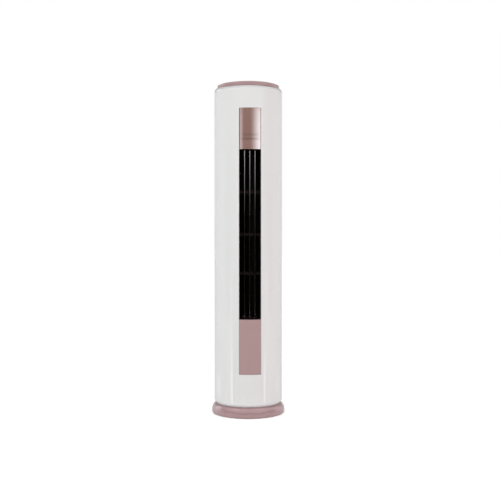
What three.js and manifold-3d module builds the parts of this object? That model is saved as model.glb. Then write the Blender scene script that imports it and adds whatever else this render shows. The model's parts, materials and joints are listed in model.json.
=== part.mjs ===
// A floor standing air conditioner: a tall round cabinet with one window in its front.
// Millimetres, +Z up. The origin is on the floor at the middle of the base. The front faces -Y.
// An angle on the cabinet is counted from the front, positive towards +X.

import * as THREE from 'three';
import { mergeVertices } from 'three/addons/utils/BufferGeometryUtils.js';
import Module from 'manifold-3d';

const wasm = await Module();
wasm.setup();

// ---------------------------------------------------------------- driving dimensions

const CABINET_HEIGHT = 1800;
const SHELL_RADIUS = 187;
const SHELL_WALL = 3;
const SHELL_BOTTOM = 58;
const BASE_BULGE = 13; // how far the base ring stands out past the shell
const BASE_WALL = 3;
const CAP_INSET = 17; // how far the cap's rim stands in from the shell
const CAP_WALL = 3;
const CAP_DOME = 4; // how far the cap swells above its rim
const CAP_RISE = 5; // height of the cap's rim at the sides and the back
const RIM_DROP = 17; // how much deeper the cap's rim is at the front
const RIM_FADE = 1.15; // how gently that drop starts at the sides
const SEAM_ANGLE = 100; // where the front shell meets the rear shell

const WINDOW_WIDTH = 116;
const WINDOW_BOTTOM = 233;
const WINDOW_TOP_MARGIN = 149;
const DISPLAY_HEIGHT = 220;
const LOWER_PANEL_HEIGHT = 294;
const PANEL_RECESS = 1.3;
const PANEL_GAP = 0.6;
const FLANGE_LAP = 10; // how far the frame's flange reaches past the window
const BOARD_WINDOW_LIFT = 80; // from the louvre's top to the display's window in the frame
const BOARD_WINDOW_DROP = 30; // from the inserts' top down to that window
const BOARD_LAP = 10; // how far the display board reaches past its window

const PLATE = 3;
const CHANNEL_WALL = 2.2;
const CHANNEL_REAR = 52; // the channel's rear edge, in front of the cabinet's axis
const BLADE_PITCH = 28;
const BLADE_RECESS = 37; // from the shell's front to the blades' front edges
const BLADE_FRONT = 22; // from the pivot to the front edge
const BLADE_REAR = 28; // from the pivot to the rear edge
const BLADE_THICKNESS = 3;
const PIN_RADIUS = 2.2;
const PIN_PLAY = 0.4;
const STAY_DROPS = [224, 452, 662]; // cross stays, down from the top of the louvre
const STAY_HEIGHT = 16;
const STAY_DEPTH = 8;
const NOTCH_PLAY = 4; // above and below a stay
const CLIP_WALL = 2.2;
const CLIP_HALF = 5; // half the height of a clip on a stay
const CRANK = 22; // from a blade's pivot to its pin in the tie bar
const TIE_BAR_DROP = 31;
const TIE_BAR_THICKNESS = 3;
const TIE_BAR_HALF = 4.5; // half its width
const MOTOR_SHAFT_RADIUS = 2.5;
const SHAFT_GRIP = 10; // how far the swing motor's shaft reaches into the middle blade
const SWING_MOTOR_RADIUS = 14;
const SWING_MOTOR_HEIGHT = 19;

const SHELF_DROP = 24; // from the louvre's bottom to the lower shelf
const LOWER_SHELF_GAP = 18; // from the shell to the lower shelf's front edge
const UPPER_SHELF_GAP = 19; // from the swing motor to the upper shelf's front edge
const FAN_RADIUS = 56;
const FAN_OFFSET = 10; // the fan's axis, behind the cabinet's axis
const FAN_BLADES = 16;
const FAN_SHAFT_RADIUS = 4;
const FAN_SHAFT_REACH = 12; // above the upper shelf, into the motor
const FAN_MOTOR_RADIUS = 45;
const FAN_MOTOR_HEIGHT = 62;
const SCROLL_WALL = 2.5;
const SCROLL_GAP = 6; // between the fan and the end of the scroll
const SCROLL_END = 118; // where the scroll ends, counted around the fan from +X
const TONGUE_GAP = 5;
const TONGUE_ANGLE = -37; // where the tongue is nearest the fan, counted likewise
const COIL_INNER = 112;
const COIL_DEPTH = 26;
const COIL_ANGLE = 108; // where the evaporator starts, from the front
const BEND_COUNT = 10;
const PAN_WALL = 2;
const PAN_HEIGHT = 17;
const PAN_ENDS = [98, 262]; // the angles at which the pan starts and ends
const PAN_REACH = 12; // how far the pan stands out past the coil
const SPIGOT_RADIUS = 8;
const SPIGOT_LENGTH = 22; // below the lower shelf
const HOSE_TURN = 90; // where the drain hose leans aside, above the service holes
const HOSE_END = { inset: 42, turn: 12, lift: 20 }; // from the shell, from the pipe hole and above it
const GAS_PIPE_RADIUS = 6.35;
const LIQUID_PIPE_RADIUS = 4;
const GAS_PIPE_SEAT = 133; // where each pipe leaves the end plate, from the cabinet's axis
const LIQUID_PIPE_SEAT = 114;
const PIPE_REACH = 34; // from the end plate to the pipes' straight run down
const GAS_PIPE_END = 330;
const LIQUID_PIPE_END = 298;

const INTAKE_ANGLE = 62; // half the intake window, from the back
const INTAKE_MARGIN = 13; // from the louvre's ends to the intake window's ends
const INTAKE_RAIL = 10;
const INTAKE_LEDGE = 10; // behind the window's edges
const FILTER_THICKNESS = 5;
const FILTER_SLOTS = 18;

const PIPE_HOLE_RADIUS = 34;
const GLAND_RADIUS = 10;
const SERVICE_HEIGHT = 150; // the pipe hole's middle
const BOX_WIDTH = 140;
const BOX_DEPTH = 80;
const BOX_HEIGHT = 180;
const BOX_WALL = 1.6;
const BOX_INSET = 33; // from the shell to the control box's open front
const BOARD_THICKNESS = 1.6;

const FOOT_RADIUS = 17;
const FOOT_HEIGHT = 8;
const FOOT_CIRCLE = 140;
const SHEET = 2; // sheet metal

const SEAT = 0.3; // between pieces that rest on each other
const CIRCLE_STEPS = 40;

// ---------------------------------------------------------------- levels and places

const rad = THREE.MathUtils.degToRad;
const deg = THREE.MathUtils.radToDeg;

const shellInner = SHELL_RADIUS - SHELL_WALL;
const insideShell = shellInner * Math.cos(Math.PI / CIRCLE_STEPS) - SEAT;
const capRadius = SHELL_RADIUS - CAP_INSET;
const baseRadius = SHELL_RADIUS + BASE_BULGE;
const capRimTop = CABINET_HEIGHT - CAP_DOME;
const rimLevel = capRimTop - CAP_RISE;
const windowHalf = deg(Math.asin(WINDOW_WIDTH / 2 / SHELL_RADIUS));
const windowTop = CABINET_HEIGHT - WINDOW_TOP_MARGIN;
const louvreTop = windowTop - DISPLAY_HEIGHT;
const louvreBottom = WINDOW_BOTTOM + LOWER_PANEL_HEIGHT;
const channelHalf = WINDOW_WIDTH / 2 - 2.5;
const channelOuter = channelHalf + CHANNEL_WALL;
const pivotY = -SHELL_RADIUS + BLADE_RECESS + BLADE_FRONT;
const bladeBottom = louvreBottom + 4;
const bladeTop = louvreTop - 4;
const lowerShelfTop = louvreBottom - SHELF_DROP;
const lowerShelfBottom = lowerShelfTop - PLATE;
const upperShelfBottom = louvreTop + PLATE + SEAT;
const upperShelfTop = upperShelfBottom + PLATE;
const fanBottom = louvreBottom + 7;
const fanTop = louvreTop - 7;
const coilOuter = COIL_INNER + COIL_DEPTH;
const panInner = COIL_INNER - 6;
const plateSeat = FOOT_HEIGHT + SEAT; // underside of the base plate
const plateRim = SHELL_BOTTOM - SEAT; // top of its upturned rim
const plateRadius = SHELL_RADIUS - 15;
const intakeBottom = louvreBottom + INTAKE_MARGIN;
const intakeTop = louvreTop - INTAKE_MARGIN;
const filterHeight = (intakeTop - intakeBottom - INTAKE_RAIL) / 2;
const filterInner = SHELL_RADIUS - FILTER_THICKNESS;
const plateTurn = deg(SHEET / coilOuter);
const seatTurn = deg(SEAT / COIL_INNER);
const endPlateAngle = COIL_ANGLE - seatTurn - plateTurn;
const pipeHoleAngle = 150;
const glandAngle = 210;

// How far the shoulder and the cap's rim come down at an angle: flat across the front, none behind.
function rimDrop(angle) {
  const ahead = Math.max(0, Math.cos(rad(angle))) ** RIM_FADE;
  return RIM_DROP * ahead * (2 - ahead);
}

// ---------------------------------------------------------------- geometry helpers

function around(radius, angle, z) {
  return [radius * Math.sin(rad(angle)), -radius * Math.cos(rad(angle)), z];
}

function spread(from, to, steps) {
  return Array.from({ length: steps + 1 }, (_, i) => from + ((to - from) * i) / steps);
}

function stepsFor(from, to) {
  return Math.max(1, Math.ceil(Math.abs(to - from) / (360 / CIRCLE_STEPS) - 0.01));
}

// Angles for an arc that passes through each of the given marks.
function arcAngles(...marks) {
  const angles = [marks[0]];
  for (let i = 1; i < marks.length; i += 1) {
    const [from, to] = [marks[i - 1], marks[i]];
    angles.push(...spread(from, to, stepsFor(from, to)).slice(1, -1), to);
  }
  return angles;
}

// A profile moved sideways to its left by a distance, with mitred corners.
function offsetProfile(points, distance) {
  const normals = points.slice(1).map(([r, z], i) => {
    const [dr, dz] = [r - points[i][0], z - points[i][1]];
    const length = Math.hypot(dr, dz);
    return [-dz / length, dr / length];
  });
  return points.map(([r, z], i) => {
    const before = normals[Math.max(0, i - 1)];
    const after = normals[Math.min(normals.length - 1, i)];
    const scale = distance / (1 + before[0] * after[0] + before[1] * after[1]);
    return [r + (before[0] + after[0]) * scale, z + (before[1] + after[1]) * scale];
  });
}

// A curved wall on a grid: each row has an outer and an inner point, each a function of the angle.
// Cells that isOpen names are left out, and every edge gets its own face, so the wall is closed.
function arcWall(angles, rows, isOpen = () => false) {
  const positions = [];
  const index = [];
  const corner = (column, row, side) => (column * rows.length + row) * 2 + side;
  for (const angle of angles) {
    for (const row of rows) {
      const [outer, inner] = row(angle);
      positions.push(...around(outer[0], angle, outer[1]), ...around(inner[0], angle, inner[1]));
    }
  }
  const quad = (a, b, c, d) => index.push(a, b, c, a, c, d);
  const columns = angles.length - 1;
  const bands = rows.length - 1;
  const solid = (i, j) => i >= 0 && j >= 0 && i < columns && j < bands && !isOpen(i, j);
  for (let i = 0; i < columns; i += 1) {
    for (let j = 0; j < bands; j += 1) {
      if (!solid(i, j)) continue;
      const [a, b, c, d] = [[i, j], [i + 1, j], [i + 1, j + 1], [i, j + 1]];
      quad(corner(...a, 0), corner(...b, 0), corner(...c, 0), corner(...d, 0));
      quad(corner(...a, 1), corner(...d, 1), corner(...c, 1), corner(...b, 1));
      const rims = [[a, b, i, j - 1], [b, c, i + 1, j], [c, d, i, j + 1], [d, a, i - 1, j]];
      for (const [from, to, nextColumn, nextBand] of rims) {
        if (solid(nextColumn, nextBand)) continue;
        quad(corner(...to, 0), corner(...from, 0), corner(...from, 1), corner(...to, 1));
      }
    }
  }
  const geometry = new THREE.BufferGeometry();
  geometry.setAttribute('position', new THREE.Float32BufferAttribute(positions, 3));
  geometry.setIndex(index);
  return geometry;
}

// Straight rows for arcWall: the same two radii at each level.
const level = (z, outer, inner) => () => [[outer, z], [inner, z]];

// A profile of [radius, z] points turned about a vertical axis.
function turned(profile, { x = 0, y = 0, steps = CIRCLE_STEPS } = {}) {
  const points = profile.map(([r, z]) => new THREE.Vector2(r, z));
  return new THREE.LatheGeometry(points, steps).rotateX(Math.PI / 2).translate(x, y, 0);
}

// A closed loop of [radius, z] points turned about the cabinet's axis.
const turnedRing = (loop) => turned([...loop, loop[0]]);

function shapeOf(points, holes = []) {
  const flat = (outline) => outline.map(([u, v]) => new THREE.Vector2(u, v));
  const shape = new THREE.Shape(flat(points));
  for (const hole of holes) shape.holes.push(new THREE.Path(flat(hole)));
  return shape;
}

const circlePoints = (radius, x, y, steps) => spread(0, 2 * Math.PI, steps).slice(0, -1)
  .map((a) => [x + radius * Math.cos(a), y + radius * Math.sin(a)]);

// An outline in the floor plan, raised from z0 to z1.
function raised(points, z0, z1, holes = []) {
  const settings = { depth: z1 - z0, bevelEnabled: false, curveSegments: 1 };
  return new THREE.ExtrudeGeometry(shapeOf(points, holes), settings).translate(0, 0, z0);
}

// An outline of [x, z] points in the front view, carried from y0 back to y1.
function carried(points, y0, y1, holes = []) {
  const settings = { depth: y1 - y0, bevelEnabled: false, curveSegments: 1 };
  const extruded = new THREE.ExtrudeGeometry(shapeOf(points, holes), settings);
  return extruded.rotateX(Math.PI / 2).translate(0, y1, 0);
}

const rectangle = (u0, u1, v0, v1) => [[u0, v0], [u1, v0], [u1, v1], [u0, v1]];

function block([x0, x1], [y0, y1], [z0, z1]) {
  const box = new THREE.BoxGeometry(x1 - x0, y1 - y0, z1 - z0);
  return box.translate((x0 + x1) / 2, (y0 + y1) / 2, (z0 + z1) / 2);
}

function rod(radius, z0, z1, x = 0, y = 0, steps = 8) {
  const cylinder = new THREE.CylinderGeometry(radius, radius, z1 - z0, steps);
  return cylinder.rotateX(Math.PI / 2).translate(x, y, (z0 + z1) / 2);
}

// A cylinder that points outwards from the cabinet's axis.
function radialRod(radius, from, to, angle, z, steps = 16) {
  const cylinder = new THREE.CylinderGeometry(radius, radius, to - from, steps);
  return cylinder.translate(0, (from + to) / 2, 0).rotateZ(rad(angle) + Math.PI).translate(0, 0, z);
}

// A round tube along a curve, with its own number of sides and steps.
function tubeAlong(curve, radius, steps, sides) {
  const section = shapeOf(circlePoints(radius, 0, 0, sides));
  const settings = { steps, bevelEnabled: false, extrudePath: curve, curveSegments: 1 };
  return new THREE.ExtrudeGeometry(section, settings);
}

// A pipe run: straight pieces with rounded corners.
function pipeCurve(points, bend) {
  const path = new THREE.CurvePath();
  let from = points[0];
  for (let i = 1; i < points.length - 1; i += 1) {
    const back = points[i - 1].clone().sub(points[i]).setLength(bend).add(points[i]);
    const ahead = points[i + 1].clone().sub(points[i]).setLength(bend).add(points[i]);
    path.add(new THREE.LineCurve3(from, back));
    path.add(new THREE.QuadraticBezierCurve3(back, points[i], ahead));
    from = ahead;
  }
  path.add(new THREE.LineCurve3(from, points[points.length - 1]));
  return path;
}

// A wall of even thickness that follows a path in the floor plan.
function wallAlong(path, thickness, z0, z1) {
  const left = offsetProfile(path, thickness / 2);
  const right = offsetProfile(path, -thickness / 2);
  return raised([...right, ...left.reverse()], z0, z1);
}

// ---------------------------------------------------------------- joining and cutting

function solidOf(geometry) {
  const plain = geometry.clone();
  plain.deleteAttribute('normal');
  plain.deleteAttribute('uv');
  const merged = mergeVertices(plain, 1e-4);
  const vertProperties = new Float32Array(merged.attributes.position.array);
  const triVerts = new Uint32Array(merged.index.array);
  return new wasm.Manifold(new wasm.Mesh({ numProp: 3, vertProperties, triVerts }));
}

function geometryOf(solid) {
  const mesh = solid.getMesh();
  const geometry = new THREE.BufferGeometry();
  geometry.setAttribute('position', new THREE.BufferAttribute(mesh.vertProperties, 3));
  geometry.setIndex(new THREE.BufferAttribute(mesh.triVerts, 1));
  return geometry;
}

const joined = (...pieces) => geometryOf(pieces.map(solidOf).reduce((sum, piece) => sum.add(piece)));

const cutBy = (piece, ...tools) => geometryOf(
  tools.map(solidOf).reduce((rest, tool) => rest.subtract(tool), solidOf(piece)),
);

const common = (a, b) => geometryOf(solidOf(a).intersect(solidOf(b)));

// ---------------------------------------------------------------- the group and its finishes

const airConditioner = new THREE.Group();

function finish(color, roughness, metalness = 0) {
  return new THREE.MeshStandardMaterial({ color, roughness, metalness });
}

const glossWhite = finish(0xe2e1e0, 0.22);
const dustyPink = finish(0xac9091, 0.35, 0.25);
const satinPink = finish(0xac908f, 0.5, 0.15);
const roseGold = finish(0xb89a92, 0.25, 0.85);
const blackPlastic = finish(0x141213, 0.55);
const darkBlade = finish(0x1c191a, 0.42);
const greyPlastic = finish(0x8a8c8e, 0.6);
const filterGrey = finish(0xd4d5d6, 0.5);
const zincSteel = finish(0xb4b7ba, 0.4, 0.9);
const finAluminium = finish(0xc4c8cb, 0.35, 0.9);
const copper = finish(0xb4714a, 0.3, 0.95);
const brass = finish(0xb79a52, 0.35, 0.95);
const rubber = finish(0x202020, 0.9);
const whiteFoam = finish(0xe6e6e4, 0.8);
const boardGreen = finish(0x2c5a3c, 0.6);

function add(name, geometry, material) {
  const mesh = new THREE.Mesh(geometry, material);
  mesh.name = name;
  airConditioner.add(mesh);
}

// ---------------------------------------------------------------- cabinet

// The shell's section, from the lip that rests on the base plate up to its rolled bottom corner.
const shellFoot = [[-22, 0], [-13, 0], [-9.5, 2.2], [-4.8, 7.5], [-1.2, 12], [0, 16]]
  .map(([r, z]) => [SHELL_RADIUS + r, SHELL_BOTTOM + z]);

// The shoulder, from the straight side up to the lip under the cap, measured from the rim level.
const shellShoulder = [[0, -20], [-1.4, -15], [-9.4, -6.5], [-15.5, -1], [-20, 0], [-32, 0]]
  .map(([r, z]) => [SHELL_RADIUS + r, rimLevel + z]);

function shellRows(levels) {
  const outer = [...shellFoot, ...levels.map((z) => [SHELL_RADIUS, z]), ...shellShoulder];
  const inner = offsetProfile(outer, SHELL_WALL);
  inner[0][0] = outer[0][0];
  inner[inner.length - 1][0] = outer[outer.length - 1][0];
  return outer.map(([r, z], i) => (angle) => {
    const drop = z > windowTop + 1 ? rimDrop(angle) : 0;
    return [[r, z - drop], [inner[i][0], inner[i][1] - drop]];
  });
}

function makeFrontShell() {
  const seam = SEAM_ANGLE - deg(SEAT / 2 / SHELL_RADIUS);
  const angles = arcAngles(-seam, -windowHalf, -windowHalf / 2, 0, windowHalf / 2, windowHalf, seam);
  const rows = shellRows([WINDOW_BOTTOM, windowTop]);
  const first = angles.indexOf(-windowHalf);
  const last = angles.indexOf(windowHalf);
  const windowBand = shellFoot.length;
  const isOpen = (i, j) => j === windowBand && i >= first && i < last;
  add('front_shell', arcWall(angles, rows, isOpen), glossWhite);
}

function makeRearShell() {
  const seam = SEAM_ANGLE + deg(SEAT / 2 / SHELL_RADIUS);
  const [from, to] = [180 - INTAKE_ANGLE, 180 + INTAKE_ANGLE];
  const railBottom = intakeBottom + filterHeight;
  const angles = arcAngles(seam, from, to, 360 - seam);
  const rows = shellRows([intakeBottom, railBottom, railBottom + INTAKE_RAIL, intakeTop]);
  const first = angles.indexOf(from);
  const last = angles.indexOf(to);
  const lower = shellFoot.length;
  const isOpen = (i, j) => (j === lower || j === lower + 2) && i >= first && i < last;
  const shell = cutBy(
    arcWall(angles, rows, isOpen),
    radialRod(PIPE_HOLE_RADIUS, SHELL_RADIUS - 20, SHELL_RADIUS + 20, pipeHoleAngle, SERVICE_HEIGHT),
    radialRod(GLAND_RADIUS + SEAT, SHELL_RADIUS - 20, SHELL_RADIUS + 20, glandAngle, SERVICE_HEIGHT, 10),
  );
  add('rear_shell', shell, glossWhite);

  // A frame inside the shell, with a ledge around the window on which the filter cassettes seat.
  const seat = filterInner - SEAT;
  const marks = [[intakeBottom - INTAKE_LEDGE, insideShell], [intakeBottom - 1, insideShell],
    [intakeBottom + 1, seat], [intakeBottom + INTAKE_LEDGE, seat], [railBottom - INTAKE_LEDGE, seat],
    [railBottom + INTAKE_RAIL + INTAKE_LEDGE, seat], [intakeTop - INTAKE_LEDGE, seat],
    [intakeTop - 1, seat], [intakeTop + 1, insideShell], [intakeTop + INTAKE_LEDGE, insideShell]];
  const frameRows = marks.map(([z, reach]) => (angle) => {
    const outer = angle < from || angle > to ? insideShell : reach;
    return [[outer, z], [seat - SHEET, z]];
  });
  const frameAngles = [from - 3, from - 0.3, from + 0.3, ...spread(from + 3, to - 3, 11),
    to - 0.3, to + 0.3, to + 3];
  const frameOpen = (i, j) => (j === 3 || j === 5) && i >= 3 && i <= frameAngles.length - 5;
  add('filter_frame', arcWall(frameAngles, frameRows, frameOpen), blackPlastic);
}

function makeTopCap() {
  const rimRadius = capRadius - CAP_WALL;
  const profile = (angle) => {
    const rim = rimLevel - rimDrop(angle) + SEAT;
    return [
      [0, CABINET_HEIGHT - CAP_WALL], [rimRadius, capRimTop - CAP_WALL], [rimRadius, rim],
      [capRadius - 1.2, rim], [capRadius, rim + 1.2], [capRadius, capRimTop - 3],
      [capRadius - 1.2, capRimTop - 1], [capRadius - 4.5, capRimTop],
      [capRadius / 2, CABINET_HEIGHT - CAP_DOME / 4], [0, CABINET_HEIGHT],
    ];
  };
  const angles = spread(0, 360, CIRCLE_STEPS);
  const count = profile(0).length;
  const positions = angles.flatMap((angle) => profile(angle).flatMap(([r, z]) => around(r, angle, z)));
  const index = [];
  for (let i = 0; i < CIRCLE_STEPS; i += 1) {
    for (let j = 0; j < count - 1; j += 1) {
      const [a, b] = [i * count + j, (i + 1) * count + j];
      if (j > 0) index.push(a, b, a + 1);
      if (j < count - 2) index.push(b, b + 1, a + 1);
    }
  }
  const geometry = new THREE.BufferGeometry();
  geometry.setAttribute('position', new THREE.Float32BufferAttribute(positions, 3));
  geometry.setIndex(index);
  add('top_cap', geometry, dustyPink);
}

// The base ring's section, from its lower edge up over the bulge and in to the plate it clips to.
// Radii are counted from the bulge, levels from the shell's bottom.
const baseSection = [[-10.5, -56], [-4.4, -54.4], [-1.4, -51], [-0.3, -46], [0, -37], [-1.2, -27],
  [-3.8, -19], [-7.6, -12.8], [-12.7, -7.5], [-19, -3.4], [-24, -1.6]]
  .map(([r, z]) => [baseRadius + r, SHELL_BOTTOM + z]);

function makeBase() {
  const outer = [...baseSection, [plateRadius + SEAT, SHELL_BOTTOM - 1.6]];
  add('base_ring', turnedRing([...outer, ...offsetProfile(outer, BASE_WALL).reverse()]), dustyPink);

  const rimWidth = 9;
  const plate = [[0, plateSeat], [plateRadius, plateSeat], [plateRadius, plateRim],
    [plateRadius - rimWidth, plateRim], [plateRadius - rimWidth, plateRim - SHEET],
    [plateRadius - SHEET, plateRim - SHEET], [plateRadius - SHEET, plateSeat + SHEET],
    [0, plateSeat + SHEET]];
  add('base_plate', turned(plate), zincSteel);

  const foot = [[0, 0], [FOOT_RADIUS - 1.5, 0], [FOOT_RADIUS, 1.5], [FOOT_RADIUS - 2, FOOT_HEIGHT],
    [0, FOOT_HEIGHT]];
  const corners = { front_left: -45, front_right: 45, rear_right: 135, rear_left: 225 };
  for (const [name, angle] of Object.entries(corners)) {
    const [x, y] = around(FOOT_CIRCLE, angle, 0);
    add(`foot_${name}`, turned(foot, { x, y, steps: 10 }), rubber);
  }
}

// ---------------------------------------------------------------- the window's inserts

// The shell, the frame and the inserts share the window's columns, so that their facets lie alike.
const windowColumns = (edge) => [-edge, -windowHalf / 2, 0, windowHalf / 2, edge];

function makeInsert(name, z0, z1, material) {
  const edge = windowHalf - deg(PANEL_GAP / SHELL_RADIUS);
  const outer = SHELL_RADIUS - PANEL_RECESS;
  const soft = 0.8;
  const rows = [level(z0, outer - soft, shellInner), level(z0 + soft, outer, shellInner),
    level(z1 - soft, outer, shellInner), level(z1, outer - soft, shellInner)];
  add(name, arcWall(windowColumns(edge), rows), material);
}

function makeDisplayBoard() {
  const half = channelHalf - 2.5;
  const front = -Math.sqrt((insideShell - SHEET - 1) ** 2 - half ** 2);
  const bottom = louvreTop + BOARD_WINDOW_LIFT - BOARD_LAP;
  const top = windowTop - BOARD_WINDOW_DROP + BOARD_LAP;
  add('display_board', block([-half, half], [front, front + BOARD_THICKNESS], [bottom, top]), boardGreen);
}

// ---------------------------------------------------------------- louvre

const bladeNames = ['left', 'middle', 'right'];
const bladeX = (i) => (i - (bladeNames.length - 1) / 2) * BLADE_PITCH;
const stayLevels = STAY_DROPS.map((drop) => louvreTop - drop)
  .filter((z) => z > louvreBottom + STAY_HEIGHT);
const pinHole = PIN_RADIUS + PIN_PLAY;
const clipOuter = pinHole + CLIP_WALL;
const hubRadius = MOTOR_SHAFT_RADIUS + 2.5;
const hubTop = louvreTop + PLATE - SEAT;
const socketEnd = hubTop - SHAFT_GRIP; // bottom of the motor shaft's socket in the middle blade
const tieBarLevel = louvreTop - TIE_BAR_DROP;

// A snap clip that holds a blade's pin from behind and is open to the front.
function pivotClip(x, z) {
  const [from, to] = [rad(-55), rad(235)];
  const arc = (radius, start, end) => spread(start, end, 5)
    .map((a) => [x + radius * Math.cos(a), pivotY + radius * Math.sin(a)]);
  return raised([...arc(clipOuter, from, to), ...arc(pinHole, to, from)], z - CLIP_HALF, z + CLIP_HALF);
}

function makeOutletFrame() {
  const flangeOuter = insideShell;
  const flangeInner = flangeOuter - SHEET;
  const edge = windowHalf + deg(FLANGE_LAP / SHELL_RADIUS);
  const opening = deg(Math.asin(channelHalf / flangeOuter));
  const rim = 4; // how much narrower than the louvre the two windows behind the inserts are
  const marks = [WINDOW_BOTTOM - FLANGE_LAP, WINDOW_BOTTOM + FLANGE_LAP, lowerShelfBottom - FLANGE_LAP,
    louvreBottom, louvreTop, louvreTop + BOARD_WINDOW_LIFT, windowTop - BOARD_WINDOW_DROP,
    windowTop + FLANGE_LAP];
  const rows = marks.map((z) => level(z, flangeOuter, flangeInner));
  const angles = [-edge, -opening, -opening + rim, -windowHalf / 2, 0, windowHalf / 2, opening - rim,
    opening, edge];
  const isOpen = (i, j) => {
    if (j === 3) return i >= 1 && i <= 6;
    return (j === 1 || j === 5) && i >= 2 && i <= 5;
  };
  const flange = arcWall(angles, rows, isOpen);

  const outline = rectangle(-channelOuter, channelOuter, lowerShelfTop + SEAT, louvreTop + PLATE);
  const air = rectangle(-channelHalf, channelHalf, louvreBottom, louvreTop);
  const under = rectangle(-channelHalf, channelHalf, lowerShelfTop + SEAT + PLATE, louvreBottom - PLATE);
  const channel = common(
    carried(outline, -SHELL_RADIUS, -CHANNEL_REAR, [air, under]),
    rod(flangeOuter - 0.5, lowerShelfTop, louvreTop + PLATE * 2, 0, 0, CIRCLE_STEPS),
  );

  const stayFront = pivotY + clipOuter - 0.8;
  const stays = stayLevels.map((z) => block([-channelOuter + 1, channelOuter - 1],
    [stayFront, stayFront + STAY_DEPTH], [z - STAY_HEIGHT / 2, z + STAY_HEIGHT / 2]));
  const clips = stayLevels.flatMap((z) => bladeNames.map((_, i) => pivotClip(bladeX(i), z)));
  const hubHole = hubRadius + PIN_PLAY;
  const holes = bladeNames.flatMap((_, i) => [
    rod(pinHole, louvreBottom - PLATE - 1, louvreBottom + 1, bladeX(i), pivotY),
    rod(i === 1 ? hubHole : pinHole, louvreTop - 1, louvreTop + PLATE + 1, bladeX(i), pivotY),
  ]);
  add('outlet_frame', cutBy(joined(flange, channel, ...stays, ...clips), ...holes), blackPlastic);
}

// A blade in the floor plan: rounded front edge, thickest at the pivot, thin at the rear.
function bladeOutline(x) {
  const half = BLADE_THICKNESS / 2;
  const side = [[-BLADE_FRONT, half * 0.4], [-BLADE_FRONT + 2, half * 0.8], [0, half],
    [BLADE_REAR, half * 0.4]];
  const right = side.map(([v, u]) => [x + u, pivotY + v]);
  const left = side.map(([v, u]) => [x - u, pivotY + v]).reverse();
  return [...right, ...left];
}

function makeBlade(index) {
  const x = bladeX(index);
  const behind = pivotY + BLADE_REAR + 1;
  const wide = [x - BLADE_THICKNESS, x + BLADE_THICKNESS];
  const hold = 3; // how far a pin reaches into the blade beyond a notch
  const notchHalf = STAY_HEIGHT / 2 + NOTCH_PLAY;
  const notchFront = pivotY - clipOuter - 6;
  const stayNotches = stayLevels
    .map((z) => block(wide, [notchFront, behind], [z - notchHalf, z + notchHalf]));
  const stayPins = stayLevels
    .map((z) => rod(PIN_RADIUS, z - notchHalf - hold, z + notchHalf + hold, x, pivotY, 6));
  const barRoom = [tieBarLevel - 7, tieBarLevel + TIE_BAR_THICKNESS + 7];
  const barNotch = block(wide, [pivotY + CRANK - 8, behind], barRoom);
  const crankPin = rod(PIN_RADIUS - PIN_PLAY, barRoom[0] - hold, barRoom[1] + hold, x, pivotY + CRANK, 6);
  const footPin = rod(PIN_RADIUS, louvreBottom - PLATE + SEAT, bladeBottom + 3, x, pivotY);
  const isDriven = index === 1;
  const topPin = isDriven
    ? rod(hubRadius, bladeTop - 12, hubTop, x, pivotY, 12)
    : rod(PIN_RADIUS, bladeTop - 3, hubTop, x, pivotY);
  const plate = cutBy(raised(bladeOutline(x), bladeBottom, bladeTop), ...stayNotches, barNotch);
  const whole = joined(plate, ...stayPins, crankPin, footPin, topPin);
  const socket = rod(MOTOR_SHAFT_RADIUS + SEAT, socketEnd, hubTop + 1, x, pivotY, 12);
  add(`blade_${bladeNames[index]}`, isDriven ? cutBy(whole, socket) : whole, darkBlade);
}

function makeTieBar() {
  const y = pivotY + CRANK;
  const reach = bladeX(bladeNames.length - 1);
  const end = (x, from) => spread(rad(from), rad(from + 180), 5)
    .map((a) => [x + TIE_BAR_HALF * Math.cos(a), y + TIE_BAR_HALF * Math.sin(a)]);
  const outline = [...end(reach, -90), ...end(-reach, 90)];
  const holes = bladeNames.map((_, i) => circlePoints(PIN_RADIUS, bladeX(i), y, 8));
  const bar = raised(outline, tieBarLevel, tieBarLevel + TIE_BAR_THICKNESS, holes);
  add('blade_tie_bar', bar, blackPlastic);
}

function makeSwingMotor() {
  const seat = louvreTop + PLATE + SEAT;
  const top = seat + SWING_MOTOR_HEIGHT;
  const bearing = 9; // how far the shaft reaches into the motor
  const earReach = SWING_MOTOR_RADIUS + 7;
  const back = pivotY + SWING_MOTOR_RADIUS;
  const can = rod(SWING_MOTOR_RADIUS, seat, top, 0, pivotY, 20);
  const ears = block([-earReach, earReach], [pivotY - 3.5, pivotY + 3.5], [seat, seat + 1.2]);
  const lead = block([-7, 7], [back - 3, back + 4], [seat + 3, top - 2]);
  const bore = rod(MOTOR_SHAFT_RADIUS + SEAT, seat - 1, seat + bearing, 0, pivotY, 12);
  add('swing_motor', cutBy(joined(can, ears, lead), bore), zincSteel);

  const shaftEnd = socketEnd + SEAT;
  const round = rod(MOTOR_SHAFT_RADIUS, shaftEnd, seat + bearing - SEAT, 0, pivotY, 12);
  const flat = MOTOR_SHAFT_RADIUS * 0.7;
  const beyond = MOTOR_SHAFT_RADIUS * 2;
  const sides = [[flat, beyond], [-beyond, -flat]]
    .map((x) => block(x, [pivotY - beyond, pivotY + beyond], [shaftEnd - 1, hubTop - 1]));
  add('swing_motor_shaft', cutBy(round, ...sides), zincSteel);
}

// ---------------------------------------------------------------- shelves and air duct

// A round shelf with a straight front edge at a distance in front of the cabinet's axis.
function shelfOutline(front) {
  const reach = deg(Math.acos(front / insideShell));
  return spread(reach, 360 - reach, CIRCLE_STEPS).map((angle) => around(insideShell, angle, 0));
}

// A pipe leaves the right end plate squarely and runs down at this place.
function pipePlace(seat, reach = PIPE_REACH) {
  const [x, y] = around(seat, endPlateAngle, 0);
  return [x - reach * Math.cos(rad(endPlateAngle)), y - reach * Math.sin(rad(endPlateAngle))];
}

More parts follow.
